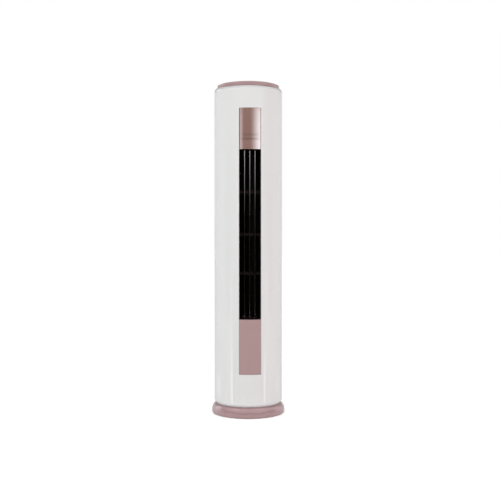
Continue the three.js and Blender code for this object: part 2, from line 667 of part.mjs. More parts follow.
function makeShelves() {
  const holeGap = 0.8;
  const pipeHoles = [[GAS_PIPE_SEAT, GAS_PIPE_RADIUS], [LIQUID_PIPE_SEAT, LIQUID_PIPE_RADIUS]]
    .map(([seat, radius]) => circlePoints(radius + holeGap, ...pipePlace(seat), 12));
  const drainHole = circlePoints(SPIGOT_RADIUS + holeGap, ...spigotPlace, 12);
  const lower = shelfOutline(insideShell - LOWER_SHELF_GAP);
  const lowerHoles = [...pipeHoles, drainHole];
  add('lower_shelf', raised(lower, lowerShelfBottom, lowerShelfTop, lowerHoles), zincSteel);
  const shaftHole = circlePoints(FAN_SHAFT_RADIUS + 6, 0, FAN_OFFSET, 16);
  const upper = shelfOutline(-pivotY - SWING_MOTOR_RADIUS - UPPER_SHELF_GAP);
  add('upper_shelf', raised(upper, upperShelfBottom, upperShelfTop, [shaftHole]), zincSteel);
}

// The cross-flow fan's duct: a scroll on the left that opens towards the channel, a tongue on the
// right. Both start beside the channel's walls, and a baffle joins each to the end of the coil.
function makeDuct() {
  const [z0, z1] = [lowerShelfTop + SEAT, upperShelfBottom - SEAT];
  const wallX = channelOuter + SEAT + SCROLL_WALL / 2;
  const lapY = -CHANNEL_REAR - 14;
  const cornerY = -CHANNEL_REAR + 2;
  const [coilX, coilY] = around(panInner - SCROLL_WALL, COIL_ANGLE - 3, 0);
  const aroundFan = (distance, angle) => [distance * Math.cos(rad(angle)),
    FAN_OFFSET + distance * Math.sin(rad(angle))];

  const start = { distance: Math.hypot(wallX, FAN_OFFSET - cornerY),
    angle: 180 + deg(Math.atan2(FAN_OFFSET - cornerY, wallX)) };
  const spiral = spread(0, 1, 12).map((t) => aroundFan(
    start.distance + (FAN_RADIUS + SCROLL_GAP - start.distance) * t,
    start.angle + (SCROLL_END - start.angle) * t,
  ));
  const scroll = wallAlong([[-wallX, lapY], ...spiral], SCROLL_WALL, z0, z1);
  const leftBaffle = wallAlong([[-wallX, cornerY - 1], [-coilX, coilY]], SCROLL_WALL, z0, z1);
  add('scroll_wall', joined(scroll, leftBaffle), blackPlastic);

  const tip = aroundFan(FAN_RADIUS + TONGUE_GAP, TONGUE_ANGLE);
  const path = [[wallX, lapY], [wallX, cornerY], [wallX - 4, cornerY + 8], tip, [tip[0] + 5, tip[1] + 9]];
  const tongue = wallAlong(path, SCROLL_WALL, z0, z1);
  const rightBaffle = wallAlong([[wallX, cornerY - 1], [coilX, coilY]], SCROLL_WALL, z0, z1);
  add('tongue_wall', joined(tongue, rightBaffle), blackPlastic);
}

// ---------------------------------------------------------------- cross-flow fan

// One fan blade in the floor plan: a thin crescent that leans forward.
function fanBladeOutline(turn) {
  const [outer, inner] = [FAN_RADIUS - 1.5, FAN_RADIUS * 0.78];
  const middle = (outer + inner) / 2;
  const crescent = [[inner, 0], [middle, 0.6], [outer, 5.2], [outer, 6.8], [middle, 2.8], [inner, 1.8]];
  return crescent.map(([radius, lean]) => [radius * Math.cos(turn + rad(lean)),
    FAN_OFFSET + radius * Math.sin(turn + rad(lean))]);
}

function makeFan() {
  const discs = spread(fanBottom, fanTop - PLATE, 2)
    .map((z) => rod(FAN_RADIUS, z, z + PLATE, 0, FAN_OFFSET, 32));
  const rings = discs.map((disc, i) => (i === 0 || i === discs.length - 1
    ? disc
    : cutBy(disc, rod(FAN_RADIUS * 0.7, fanBottom, fanTop, 0, FAN_OFFSET, 16))));
  const blades = spread(0, 2 * Math.PI, FAN_BLADES).slice(0, -1)
    .map((turn) => raised(fanBladeOutline(turn), fanBottom + 1, fanTop - 1));
  const stub = rod(FAN_SHAFT_RADIUS, lowerShelfTop + 4, fanBottom + 1, 0, FAN_OFFSET, 12);
  const hub = rod(FAN_SHAFT_RADIUS + 8, fanTop - 20, fanTop + 2, 0, FAN_OFFSET, 16);
  const socketFloor = fanTop - 18;
  const bore = FAN_SHAFT_RADIUS + SEAT;
  const socket = rod(bore, socketFloor, fanTop + 3, 0, FAN_OFFSET, 12);
  add('fan_rotor', cutBy(joined(...rings, ...blades, stub, hub), socket), darkBlade);
  const shaft = rod(FAN_SHAFT_RADIUS, socketFloor + SEAT, upperShelfTop + FAN_SHAFT_REACH, 0, FAN_OFFSET, 12);
  add('fan_motor_shaft', shaft, zincSteel);

  // A rubber bush around the stub, in a flanged cup that stands on the lower shelf.
  const bushRadius = FAN_SHAFT_RADIUS + 5;
  const [bushBottom, bushTop] = [lowerShelfTop + 5, lowerShelfTop + 19];
  const bush = [[bore, bushBottom], [bushRadius, bushBottom], [bushRadius, bushTop], [bore, bushTop]];
  add('fan_bearing_bush', turned([...bush, bush[0]], { y: FAN_OFFSET, steps: 12 }), rubber);
  const [flangeBottom, flangeTop, flangeRadius] = [lowerShelfTop + SEAT, lowerShelfTop + PLATE, 26];
  const holder = [[0, flangeBottom], [flangeRadius, flangeBottom], [flangeRadius, flangeTop],
    [bushRadius + 4, flangeTop], [bushRadius + 4, bushTop - 1], [bushRadius + SEAT, bushTop - 1],
    [bushRadius + SEAT, bushBottom - SEAT], [FAN_SHAFT_RADIUS + 1, bushBottom - SEAT],
    [FAN_SHAFT_RADIUS + 1, flangeTop], [0, flangeTop]];
  add('fan_bearing_holder', turned(holder, { y: FAN_OFFSET, steps: 12 }), greyPlastic);
}

function makeFanMotor() {
  const seat = upperShelfTop + SEAT;
  const top = seat + FAN_MOTOR_HEIGHT;
  const can = [[0, seat], [FAN_MOTOR_RADIUS - 6, seat], [FAN_MOTOR_RADIUS, seat + 6],
    [FAN_MOTOR_RADIUS, top - 8], [FAN_MOTOR_RADIUS - 8, top], [0, top]];
  const body = turned(can, { y: FAN_OFFSET, steps: 22 });
  const bore = rod(FAN_SHAFT_RADIUS + SEAT, seat - 1, upperShelfTop + FAN_SHAFT_REACH + 1, 0, FAN_OFFSET, 12);
  add('fan_motor', cutBy(body, bore), zincSteel);

  // A strap over the motor with a foot on each side.
  const legX = FAN_MOTOR_RADIUS + SEAT;
  const footX = legX + 18;
  const under = top + SEAT;
  const rightHalf = [[legX, under], [legX, seat], [footX, seat], [footX, seat + SHEET],
    [legX + SHEET, seat + SHEET], [legX + SHEET, under + SHEET]];
  const leftHalf = rightHalf.map(([x, z]) => [-x, z]).reverse();
  const strap = carried([...rightHalf, ...leftHalf], FAN_OFFSET - 15, FAN_OFFSET + 15);
  add('fan_motor_bracket', strap, zincSteel);
}

// ---------------------------------------------------------------- evaporator, pan and pipes

const panFloor = lowerShelfTop + SEAT;
const coilBottom = panFloor + PAN_WALL + SEAT;
const coilTop = upperShelfBottom - SEAT;
const spigotPlace = [0, (COIL_INNER + coilOuter) / 2];

function makeEvaporator() {
  const fins = arcWall(arcAngles(COIL_ANGLE, 360 - COIL_ANGLE), [coilBottom, coilTop]
    .map((z) => level(z, coilOuter, COIL_INNER)));
  add('evaporator_fins', fins, finAluminium);

  const endPlate = (from) => arcWall([from, from + plateTurn], [coilBottom, coilTop]
    .map((z) => level(z, coilOuter + 3, COIL_INNER - 3)));
  add('evaporator_end_right', endPlate(endPlateAngle), finAluminium);

  // Return bends join neighbouring tubes at the left end.
  const leftAngle = 360 - COIL_ANGLE + seatTurn;
  const pitch = (coilTop - coilBottom) / BEND_COUNT;
  const middle = (COIL_INNER + coilOuter) / 2;
  const bends = spread(0, BEND_COUNT - 1, BEND_COUNT - 1).map((i) => {
    const z = coilBottom + pitch * (i + 0.5);
    const at = (reach, rise) => new THREE.Vector3(
      ...around(middle, leftAngle + deg(reach / middle), z + rise),
    );
    const curve = new THREE.CatmullRomCurve3([at(1, -9), at(9, -8), at(14, 0), at(9, 8), at(1, 9)]);
    return tubeAlong(curve, 4.5, 4, 5);
  });
  add('evaporator_end_left', joined(endPlate(leftAngle), ...bends), copper);

  makePipe('gas', GAS_PIPE_SEAT, GAS_PIPE_RADIUS, coilTop - 170, GAS_PIPE_END);
  makePipe('liquid', LIQUID_PIPE_SEAT, LIQUID_PIPE_RADIUS, coilBottom + 120, LIQUID_PIPE_END);
}

// A pipe leaves the end plate, turns down and ends in its flare nut in the bay behind the lower panel.
function makePipe(name, seat, radius, startLevel, endLevel) {
  const [x, y] = pipePlace(seat);
  const points = [[...pipePlace(seat, SEAT), startLevel], [x, y, startLevel], [x, y, endLevel]]
    .map((point) => new THREE.Vector3(...point));
  add(`${name}_pipe`, tubeAlong(pipeCurve(points, 14), radius, 9, 8), copper);
  const nut = rod(radius * 1.7, endLevel - 4, endLevel + 18, x, y, 6);
  const bore = rod(radius + SEAT, endLevel - SEAT, endLevel + 20, x, y, 12);
  add(`${name}_flare_nut`, cutBy(nut, bore), brass);
}

function makeDrain() {
  const [from, to] = PAN_ENDS;
  const outer = coilOuter + PAN_REACH;
  const solidPan = arcWall(arcAngles(from, to), [panFloor, panFloor + PAN_HEIGHT]
    .map((z) => level(z, outer, panInner)));
  const well = arcWall(arcAngles(from + 1, to - 1), [panFloor + PAN_WALL, panFloor + PAN_HEIGHT + 1]
    .map((z) => level(z, outer - PAN_WALL, panInner + PAN_WALL)));
  const [x, y] = spigotPlace;
  const spigotEnd = lowerShelfBottom - SPIGOT_LENGTH;
  const spigot = rod(SPIGOT_RADIUS, spigotEnd, panFloor + 1, x, y, 12);
  const bore = rod(SPIGOT_RADIUS - PAN_WALL, spigotEnd - 1, panFloor + PAN_WALL + 1, x, y, 12);
  add('drain_pan', cutBy(joined(cutBy(solidPan, well), spigot), bore), whiteFoam);

  const hoseEnd = around(SHELL_RADIUS - HOSE_END.inset, pipeHoleAngle + HOSE_END.turn,
    SERVICE_HEIGHT + HOSE_END.lift);
  const run = [[x, y, spigotEnd - SEAT], [x, y, SERVICE_HEIGHT + HOSE_TURN], hoseEnd]
    .map((point) => new THREE.Vector3(...point));
  add('drain_hose', tubeAlong(pipeCurve(run, 30), SPIGOT_RADIUS + 1, 10, 8), greyPlastic);
}

// ---------------------------------------------------------------- intake filters

function makeFilter(name, z0) {
  const edge = INTAKE_ANGLE - deg(PANEL_GAP / SHELL_RADIUS) * 1.5;
  const [from, to] = [180 - edge, 180 + edge];
  const border = 3;
  const angles = [from];
  const pitch = (to - from - border) / FILTER_SLOTS;
  for (let i = 0; i < FILTER_SLOTS; i += 1) {
    angles.push(from + border + i * pitch, from + (i + 1) * pitch);
  }
  angles.push(to);
  const [bottom, top] = [z0 + PANEL_GAP, z0 + filterHeight - PANEL_GAP];
  const hoop = (top - bottom) / 2;
  const rows = [bottom, bottom + 14, bottom + hoop - 4, bottom + hoop + 4, top - 14, top]
    .map((z) => level(z, SHELL_RADIUS, filterInner));
  const isOpen = (i, j) => i % 2 === 1 && (j === 1 || j === 3);
  const face = arcWall(angles, rows, isOpen);
  // A finger scoop in the upper rim, to pull the cassette out by.
  const scoop = block([-22, 22], [SHELL_RADIUS - 2.5, SHELL_RADIUS + 4], [top - 11, top - 3]);
  add(name, cutBy(face, scoop), filterGrey);
}

// ---------------------------------------------------------------- services

// Both sit in holes of the rear shell; a length along them is counted from the shell's outside.
function makeServices() {
  const coverRadius = PIPE_HOLE_RADIUS - SEAT * 2;
  const atCover = (radius, from, to) => radialRod(radius, SHELL_RADIUS + from, SHELL_RADIUS + to,
    pipeHoleAngle, SERVICE_HEIGHT);
  const inShell = rod(SHELL_RADIUS, SERVICE_HEIGHT - 60, SERVICE_HEIGHT + 60, 0, 0, CIRCLE_STEPS);
  const plug = common(atCover(coverRadius, -14, 20), inShell);
  add('pipe_hole_cover', cutBy(plug, atCover(coverRadius - 2, -20, -6)), glossWhite);

  const atGland = (radius, from, to, steps) => radialRod(radius, SHELL_RADIUS + from, SHELL_RADIUS + to,
    glandAngle, SERVICE_HEIGHT, steps);
  const stem = atGland(GLAND_RADIUS, -14, 1, 10);
  const head = atGland(GLAND_RADIUS + 5, SEAT, 5, 12);
  const way = atGland(GLAND_RADIUS / 2, -30, 20, 8);
  add('cable_gland', cutBy(joined(stem, head), way), rubber);
}

function makeControls() {
  const top = lowerShelfBottom - SEAT;
  const bottom = top - BOX_HEIGHT;
  const half = BOX_WIDTH / 2;
  const front = BOX_INSET - insideShell;
  const back = front + BOX_DEPTH;
  const inside = [-half + BOX_WALL, half - BOX_WALL];
  const tray = cutBy(
    block([-half, half], [front, back], [bottom, top]),
    block(inside, [front - 1, back - BOX_WALL], [bottom + BOX_WALL, top - BOX_WALL]),
  );
  add('control_box', tray, zincSteel);

  const lidFront = front - SEAT - BOX_WALL;
  const lid = block([-half, half], [lidFront, front - SEAT], [bottom, top]);
  const tongue = block([-half + 12, half - 12], [lidFront, lidFront + BOX_WALL], [bottom - 8, bottom + 1]);
  add('control_box_lid', joined(lid, tongue), greyPlastic);

  const boardBack = back - BOX_WALL - SEAT;
  const edge = half - 8;
  const board = block([-edge, edge], [boardBack - BOARD_THICKNESS, boardBack], [bottom + 8, top - 8]);
  const capacitor = block([8 - edge, 32 - edge], [boardBack - 32, boardBack - 1], [bottom + 20, bottom + 60]);
  const terminals = block([-10, edge - 8], [boardBack - 18, boardBack - 1], [bottom + 14, bottom + 36]);
  add('main_board', joined(board, capacitor, terminals), boardGreen);
}

// ---------------------------------------------------------------- assembly

makeBase();
makeFrontShell();
makeRearShell();
makeTopCap();
makeOutletFrame();
makeInsert('display_panel', louvreTop, windowTop - PANEL_GAP, roseGold);
makeInsert('lower_panel', WINDOW_BOTTOM + PANEL_GAP, louvreBottom, satinPink);
makeDisplayBoard();
bladeNames.forEach((_, index) => makeBlade(index));
makeTieBar();
makeSwingMotor();
makeShelves();
makeDuct();
makeFan();
makeFanMotor();
makeEvaporator();
makeDrain();
makeFilter('filter_lower', intakeBottom);
makeFilter('filter_upper', intakeBottom + filterHeight + INTAKE_RAIL);
makeServices();
makeControls();

export default airConditioner;
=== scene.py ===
# %% [markdown]
# # A floor standing air conditioner, dressed for its picture
#
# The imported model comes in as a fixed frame: every solid of the cabinet at its true size, in metres, with
# the origin on the floor and the louvre window facing -Y. This lesson adds what an engineer's model leaves
# out: smooth skins, soft edges, fine ribs, a filter net, screws, and a finish for every surface. New pieces
# are numpy surfaces. Each is a function of two parameters, worked out as whole arrays.

# %% Load the frame
import json

import bpy
import numpy as np
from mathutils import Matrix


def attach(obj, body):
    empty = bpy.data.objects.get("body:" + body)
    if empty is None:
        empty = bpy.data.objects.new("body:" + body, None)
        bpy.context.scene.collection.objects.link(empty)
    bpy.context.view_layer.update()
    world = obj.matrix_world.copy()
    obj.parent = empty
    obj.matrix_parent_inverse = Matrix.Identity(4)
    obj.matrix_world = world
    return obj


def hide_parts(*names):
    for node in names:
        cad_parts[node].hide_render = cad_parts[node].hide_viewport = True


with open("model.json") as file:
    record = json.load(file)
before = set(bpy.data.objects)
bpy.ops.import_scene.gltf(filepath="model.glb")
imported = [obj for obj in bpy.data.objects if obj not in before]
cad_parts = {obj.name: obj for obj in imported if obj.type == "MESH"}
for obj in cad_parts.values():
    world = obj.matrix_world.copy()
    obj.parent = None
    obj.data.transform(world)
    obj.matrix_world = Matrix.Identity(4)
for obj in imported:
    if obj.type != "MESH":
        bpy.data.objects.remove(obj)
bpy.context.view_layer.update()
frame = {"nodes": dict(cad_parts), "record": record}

# %% [markdown]
# ## Sizes
#
# The solids can't be read as formulas, so the sizes that several skins share with them are written once
# here, in metres. An angle on the cabinet is counted from the front, positive towards +X, which is how
# someone would walk round it. That makes every curved panel a rectangle in angle and height. SEAT is the
# distance between pieces that rest on each other, and GAP the slit round whatever closes an opening.

# %% The cabinet's sizes and places
MM = 0.001
SHELL_RADIUS, SHELL_WALL = 0.187, 0.003
WINDOW_WIDTH, WINDOW_BOTTOM, WINDOW_TOP = 0.1186, 0.233, 1.651
WINDOW_HALF = np.arcsin(WINDOW_WIDTH / 2 / SHELL_RADIUS)
LOUVRE_BOTTOM, LOUVRE_TOP = 0.527, 1.431
PIVOT_Y = -0.128
SEAT, GAP = 0.0003, 0.0006


def around(radius, angle, z):
    """A place on the cabinet: x = r sin(angle), y = -r cos(angle)."""
    radius, angle, z = np.broadcast_arrays(radius, angle, z)
    return np.stack([radius * np.sin(angle), -radius * np.cos(angle), z], axis=-1)


print("window is", round(float(np.degrees(WINDOW_HALF)) * 2, 1), "degrees wide")

# %% [markdown]
# ## From arrays to meshes
#
# A mesh could be made with operators, but a grid of points is easier to reason about: neighbours in the
# array are neighbours in the surface, so the faces follow from slicing. `wall` gives a surface its
# thickness and leaves out whole cells for a window, and closes every edge it leaves. `revolved` turns a
# profile round an axis, `bars` raises many outlines at once, and `together` joins several shapes into one
# piece.

# %% Points and faces into a piece


def placed(name, data):
    """An object at the origin that holds the data, linked to the scene."""
    made = bpy.data.objects.new(name, data)
    bpy.context.scene.collection.objects.link(made)
    return made


def piece(name, points, faces, body, slot, replaces=(), smooth=35):
    """Puts arrays into a mesh: points is n by 3, and faces has an index array for each number of corners."""
    mesh = bpy.data.meshes.new(name)
    loops = np.concatenate([f.reshape(-1) for f in faces]).astype(np.int32)
    counts = np.concatenate([np.full(len(f), f.shape[-1]) for f in faces]).astype(np.int32)
    mesh.vertices.add(len(points))
    mesh.vertices.foreach_set("co", np.asarray(points, np.float32).reshape(-1))
    mesh.loops.add(len(loops))
    mesh.loops.foreach_set("vertex_index", loops)
    mesh.polygons.add(len(counts))
    mesh.polygons.foreach_set("loop_start", np.concatenate([[0], np.cumsum(counts)[:-1]]).astype(np.int32))
    mesh.update(calc_edges=True)
    mesh.polygons.foreach_set("use_smooth", np.ones(len(counts), bool))
    mesh.set_sharp_from_angle(angle=np.radians(smooth))
    mesh.materials.append(finishes[slot])
    made = placed(name, mesh)
    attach(made, body)
    if replaces:
        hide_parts(*replaces)
    print(f"{name}: {len(points)} points, {len(counts)} faces")
    return made


def soft_edges(made, width, steps=2):
    """A moulded or ground edge: a Bevel wherever two faces meet at more than 50 degrees."""
    bevel = made.modifiers.new("soft_edges", "BEVEL")
    bevel.width, bevel.segments = width, steps
    bevel.limit_method, bevel.angle_limit = "ANGLE", np.radians(50)
    bevel.harden_normals = True


# %% Curves and steps along them


def softened(corners, reach, steps=6):
    """A polyline with soft corners: (1-t)^2 A + 2t(1-t) C + t^2 B. A and B are `reach` from the corner C."""
    corners = np.asarray(corners, float)
    curve = []
    for i, (corner, distance) in enumerate(zip(corners, reach)):
        if distance == 0:
            curve.append(corner[None])
            continue
        back = corners[i - 1] - corner
        ahead = corners[(i + 1) % len(corners)] - corner
        start = corner + back / np.hypot(*back) * distance
        end = corner + ahead / np.hypot(*ahead) * distance
        t = np.linspace(0, 1, steps + 1)[:, None]
        curve.append((1 - t) ** 2 * start + 2 * t * (1 - t) * corner + t**2 * end)
    return np.concatenate(curve)


def inset(profile, depth):
    """A profile moved in along its own normal, which is (-dz, dr) where the profile runs along (dr, dz)."""
    along = np.gradient(profile, axis=0)
    normal = np.stack([-along[:, 1], along[:, 0]], -1) / np.hypot(*along.T)[:, None]
    return profile + normal * depth


def columns(*marks, step=1.5):
    """Angles from mark to mark, at most `step` degrees apart, that pass through every mark exactly."""
    arcs = []
    for start, end in zip(marks, marks[1:]):
        steps = max(1, int(np.ceil(abs(end - start) / np.radians(step))))
        arcs.append(np.linspace(start, end, steps + 1)[:-1])
    return np.concatenate([*arcs, marks[-1:]])


def circle(radius, x, y, corners=20):
    """A circle's corners in the floor plan, counter-clockwise: (x + r cos t, y + r sin t)."""
    turn = np.linspace(0, 2 * np.pi, corners, endpoint=False)
    return np.stack([x + radius * np.cos(turn), y + radius * np.sin(turn)], -1)


print("a right angle with a soft corner:", len(softened([(0, 0), (1, 0), (1, 1)], [0, 0.1, 0])), "points")

# %% A wall with windows


def cells(at, closed=False):
    """The corners a, b, c, d of each cell in a grid of point numbers, one array for each corner.

    a and b are the lower ones, d and c those above them. A closed grid's last column meets its first.
    """
    if closed:
        at = np.concatenate([at, at[:1]])
    return at[..., :-1, :-1], at[..., 1:, :-1], at[..., 1:, 1:], at[..., :-1, 1:]


def quads(*corners):
    """Faces of four corners each, from one array for each corner."""
    return np.stack(corners, -1).reshape(-1, 4)


def wall(outer, inner, solid=None):
    """Points and faces of a wall between two grids of the same shape. `solid` says which cells are there.

    Each solid cell gets a face on both sides, and one across the thickness where its neighbour is missing.
    """
    cols, rows = outer.shape[:2]
    if solid is None:
        solid = np.ones((cols - 1, rows - 1), bool)
    a, b, c, d = cells(np.arange(2 * cols * rows).reshape(2, cols, rows))
    faces = [quads(a[0], b[0], c[0], d[0])[solid.ravel()], quads(a[1], d[1], c[1], b[1])[solid.ravel()]]
    ringed = np.pad(solid, 1)
    for p, q, di, dj in ((a, b, 0, -1), (b, c, 1, 0), (c, d, 0, 1), (d, a, -1, 0)):
        beside = ringed[1 + di : 1 + di + solid.shape[0], 1 + dj : 1 + dj + solid.shape[1]]
        faces.append(quads(q[0], p[0], p[1], q[1])[(solid & ~beside).ravel()])
    used, faces = np.unique(np.concatenate(faces), return_inverse=True)
    points = np.stack([outer, inner]).reshape(-1, 3)[used]
    return points, [faces.reshape(-1, 4)]


flat = np.zeros((4, 4, 3))
print("a wall of 3 by 3 cells:", len(wall(flat, flat)[1][0]), "faces")

# %% A turned profile, upright bars, and several shapes as one


def revolved(profile, centre=(0.0, 0.0), segments=160):
    """Turns (radius, z) points about a vertical axis: (r, z) goes to (r sin t, -r cos t, z) at each angle t.

    The profile runs upwards on its outer side. It may be one curve, or one curve for each angle. A profile
    from axis to axis gets two poles, and any other is closed.
    """
    profile = np.broadcast_to(profile, (segments, *np.shape(profile)[-2:]))
    angle = np.linspace(0, 2 * np.pi, segments, endpoint=False)[:, None]
    grid = around(profile[..., 0], angle, profile[..., 1]) + np.array([*centre, 0])
    if profile[0, 0, 0] > 0:
        at = np.arange(grid.size // 3).reshape(grid.shape[:2])
        at = np.concatenate([at, at[:, :1]], axis=1)
        return grid.reshape(-1, 3), [quads(*cells(at, closed=True))]
    ring = grid[:, 1:-1]
    at = np.arange(ring.size // 3).reshape(ring.shape[:2])
    beside = np.roll(at, -1, axis=0)
    low, high = ring.size // 3, ring.size // 3 + 1
    fans = [
        np.stack([np.full(segments, low), beside[:, 0], at[:, 0]], -1),
        np.stack([at[:, -1], beside[:, -1], np.full(segments, high)], -1),
    ]
    points = np.concatenate([ring.reshape(-1, 3), grid[0, [0, -1]]])
    return points, [quads(*cells(at, closed=True)), np.concatenate(fans)]


def bars(outlines, bottoms, tops):
    """Upright bars: outlines in the floor plan, shape (bars, corners, 2), each between two levels."""
    outlines = np.asarray(outlines, float)
    count, corners = outlines.shape[:2]
    levels = np.stack(np.broadcast_arrays(bottoms, tops, np.zeros(count))[:2], -1)
    flat = np.broadcast_to(outlines[:, None], (count, 2, corners, 2))
    height = np.broadcast_to(levels[:, :, None, None], (count, 2, corners, 1))
    points = np.concatenate([flat, height], -1)
    at = np.arange(points.size // 3).reshape(count, 2, corners)
    beside = np.roll(at, -1, axis=2)
    sides = quads(at[:, 0], beside[:, 0], beside[:, 1], at[:, 1])
    return points.reshape(-1, 3), [sides, at[:, 0, ::-1], at[:, 1]]


def together(*parts):
    """Several lots of points and faces as one: each lot's faces count on from the points before it."""
    points = np.concatenate([p for p, _ in parts])
    starts = np.cumsum([0] + [len(p) for p, _ in parts[:-1]])
    return points, [f + start for (_, faces), start in zip(parts, starts) for f in faces]


square = [(1, 0), (2, 0), (2, 1), (1, 1)]
print("a square turned in 8 steps:", len(revolved(square, segments=8)[1][0]), "faces")

# %% [markdown]
# ## Finishes
#
# No real surface is one flat colour. A moulded panel has a faint unevenness from its tool, painted pearl
# glints, sheet metal shows its rolling lines, and dust settles on what faces up. These effects serve many
# finishes, so each is a node group with its own inputs, and every finish places it with its own values.
# They put out colours, roughness and height only; the shader itself stays in the material.

# %% Helpers for node trees


def put(tree, kind, inputs=None, **settings):
    """Adds a node, sets its properties, and fills its inputs with values or links."""
    made = tree.nodes.new(kind)
    for key, value in settings.items():
        setattr(made, key, value)
    for key, value in (inputs or {}).items():
        if isinstance(value, bpy.types.NodeSocket):
            tree.links.new(value, made.inputs[key])
        else:
            made.inputs[key].default_value = value
    return made


def feed(tree, node, **sockets):
    """Links sockets to a node's inputs. An underscore stands for the space in an input's name."""
    for title, socket in sockets.items():
        tree.links.new(socket, node.inputs[title.replace("_", " ")])


def math(tree, operation, a, b=0.0, c=0.0):
    """One Math node's result."""
    return put(tree, "ShaderNodeMath", {0: a, 1: b, 2: c}, operation=operation).outputs[0]


def ramp(tree, value, low, high):
    """Goes smoothly from 0 at low to 1 at high. With low above high it falls."""
    limits = {"Value": value, "From Min": low, "From Max": high}
    return put(tree, "ShaderNodeMapRange", limits, interpolation_type="SMOOTHSTEP").outputs["Result"]


def off_by(tree, value, middle):
    """How far a value is from the middle: |value - middle|."""
    return math(tree, "ABSOLUTE", math(tree, "SUBTRACT", value, middle))


def swayed(tree, fraction, amount, middle):
    """A value that sways about the middle: middle + amount (fraction - 0.5)."""
    return math(tree, "MULTIPLY_ADD", math(tree, "SUBTRACT", fraction, 0.5), amount, middle)


def blend(tree, factor, a, b):
    """One Mix node for colours."""
    return put(tree, "ShaderNodeMix", {"Factor": factor, "A": a, "B": b}, data_type="RGBA").outputs["Result"]


def shaded(tree, colour, value):
    """The colour made lighter or darker by a factor."""
    return put(tree, "ShaderNodeHueSaturation", {"Color": colour, "Value": value}).outputs["Color"]


# %% Where a point is, and noise over it


def object_place(tree):
    """Where a point is on its piece. Every piece's own origin is the cabinet's."""
    return put(tree, "ShaderNodeTexCoord").outputs["Object"]


def cabinet_place(tree):
    """Where a point is on the cabinet: its angle from the front, and its x, y and z."""
    x, y, z = put(tree, "ShaderNodeSeparateXYZ", {0: object_place(tree)}).outputs
    return math(tree, "ARCTAN2", x, math(tree, "MULTIPLY", y, -1.0)), x, y, z


def noise(tree, scale, detail=2.0, place=None):
    """A Noise Texture's value from 0 to 1. The scale counts its lumps to the metre."""
    if place is None:
        place = object_place(tree)
    inputs = {"Vector": place, "Scale": scale, "Detail": detail}
    return put(tree, "ShaderNodeTexNoise", inputs).outputs["Fac"]


# %% Helpers for node groups


def new_group(name, inputs, outputs):
    """A shader node group with named sockets: Colour is a colour, and all others are numbers.

    Gives its tree, its input sockets and its output node.
    """
    tree = bpy.data.node_groups.new(name, "ShaderNodeTree")
    sockets = [(title, "INPUT") for title in inputs] + [(title, "OUTPUT") for title in outputs]
    for title, way in sockets:
        kind = "NodeSocketColor" if title == "Colour" else "NodeSocketFloat"
        socket = tree.interface.new_socket(title, in_out=way, socket_type=kind)
        if way == "INPUT":
            socket.default_value = inputs[title]
    print(f"group {name}: from {', '.join(inputs)} to {', '.join(outputs)}")
    return tree, tree.nodes.new("NodeGroupInput").outputs, tree.nodes.new("NodeGroupOutput")


def grouped(tree, group, inputs):
    """Places a group with its own values. Gives its outputs."""
    return put(tree, "ShaderNodeGroup", inputs, node_tree=group).outputs


# %% [markdown]
# ### A moulded or painted skin
#
# A plastic or painted panel drifts a little in tone over a hand's width, its gloss is uneven where it was
# handled and wiped, and under a lamp its surface ripples like orange peel. Three noises of different size
# do this.

# %% The moulded skin
inputs = {"Colour": (0.8, 0.8, 0.8, 1), "Tone drift": 0.03, "Roughness": 0.3, "Gloss drift": 0.05,
          "Peel size": 400.0}
skin, given, result = new_group("moulded_skin", inputs, ["Colour", "Roughness", "Height"])
broad, wiped, peel = noise(skin, 4.0, 3.0), noise(skin, 23.0, 4.0), noise(skin, given["Peel size"], 1.0)
toned = shaded(skin, given["Colour"], swayed(skin, broad, given["Tone drift"], 1.0))
gloss = swayed(skin, wiped, given["Gloss drift"], given["Roughness"])
feed(skin, result, Colour=toned, Roughness=gloss, Height=peel)

# %% [markdown]
# ### Pearl
#
# The pink trim is painted with a pearl: tiny flakes that each tilt another way. Small cells with a random
# shade each give the glints without a picture.

# %% The pearl flakes
inputs = {"Colour": (0.5, 0.4, 0.4, 1), "Flake size": 1500.0, "Glint": 0.1}
pearl, given, result = new_group("pearl_flakes", inputs, ["Colour"])
flakes = {"Vector": object_place(pearl), "Scale": given["Flake size"]}
random_colour = put(pearl, "ShaderNodeTexVoronoi", flakes).outputs["Color"]
shade = put(pearl, "ShaderNodeSeparateColor", {"Color": random_colour}).outputs[0]
feed(pearl, result, Colour=shaded(pearl, given["Colour"], swayed(pearl, shade, given["Glint"], 1.0)))

# %% [markdown]
# ### Rolling lines and settled dust
#
# Sheet metal keeps the direction it was rolled in: a noise stretched along one axis. Inside a cabinet, dust
# gathers on what faces up, so the surface's own normal says where it lies.

# %% Rolling lines
inputs = {"Across": 900.0, "Along": 12.0, "Roughness": 0.35, "Spread": 0.25}
lines, given, result = new_group("rolling_lines", inputs, ["Roughness", "Height"])
axes = {"X": given["Across"], "Y": given["Across"], "Z": given["Along"]}
stretch = {0: object_place(lines), 1: put(lines, "ShaderNodeCombineXYZ", axes).outputs[0]}
stretched = put(lines, "ShaderNodeVectorMath", stretch, operation="MULTIPLY").outputs[0]
streaks = noise(lines, 1.0, place=stretched)
feed(lines, result, Roughness=swayed(lines, streaks, given["Spread"], given["Roughness"]), Height=streaks)

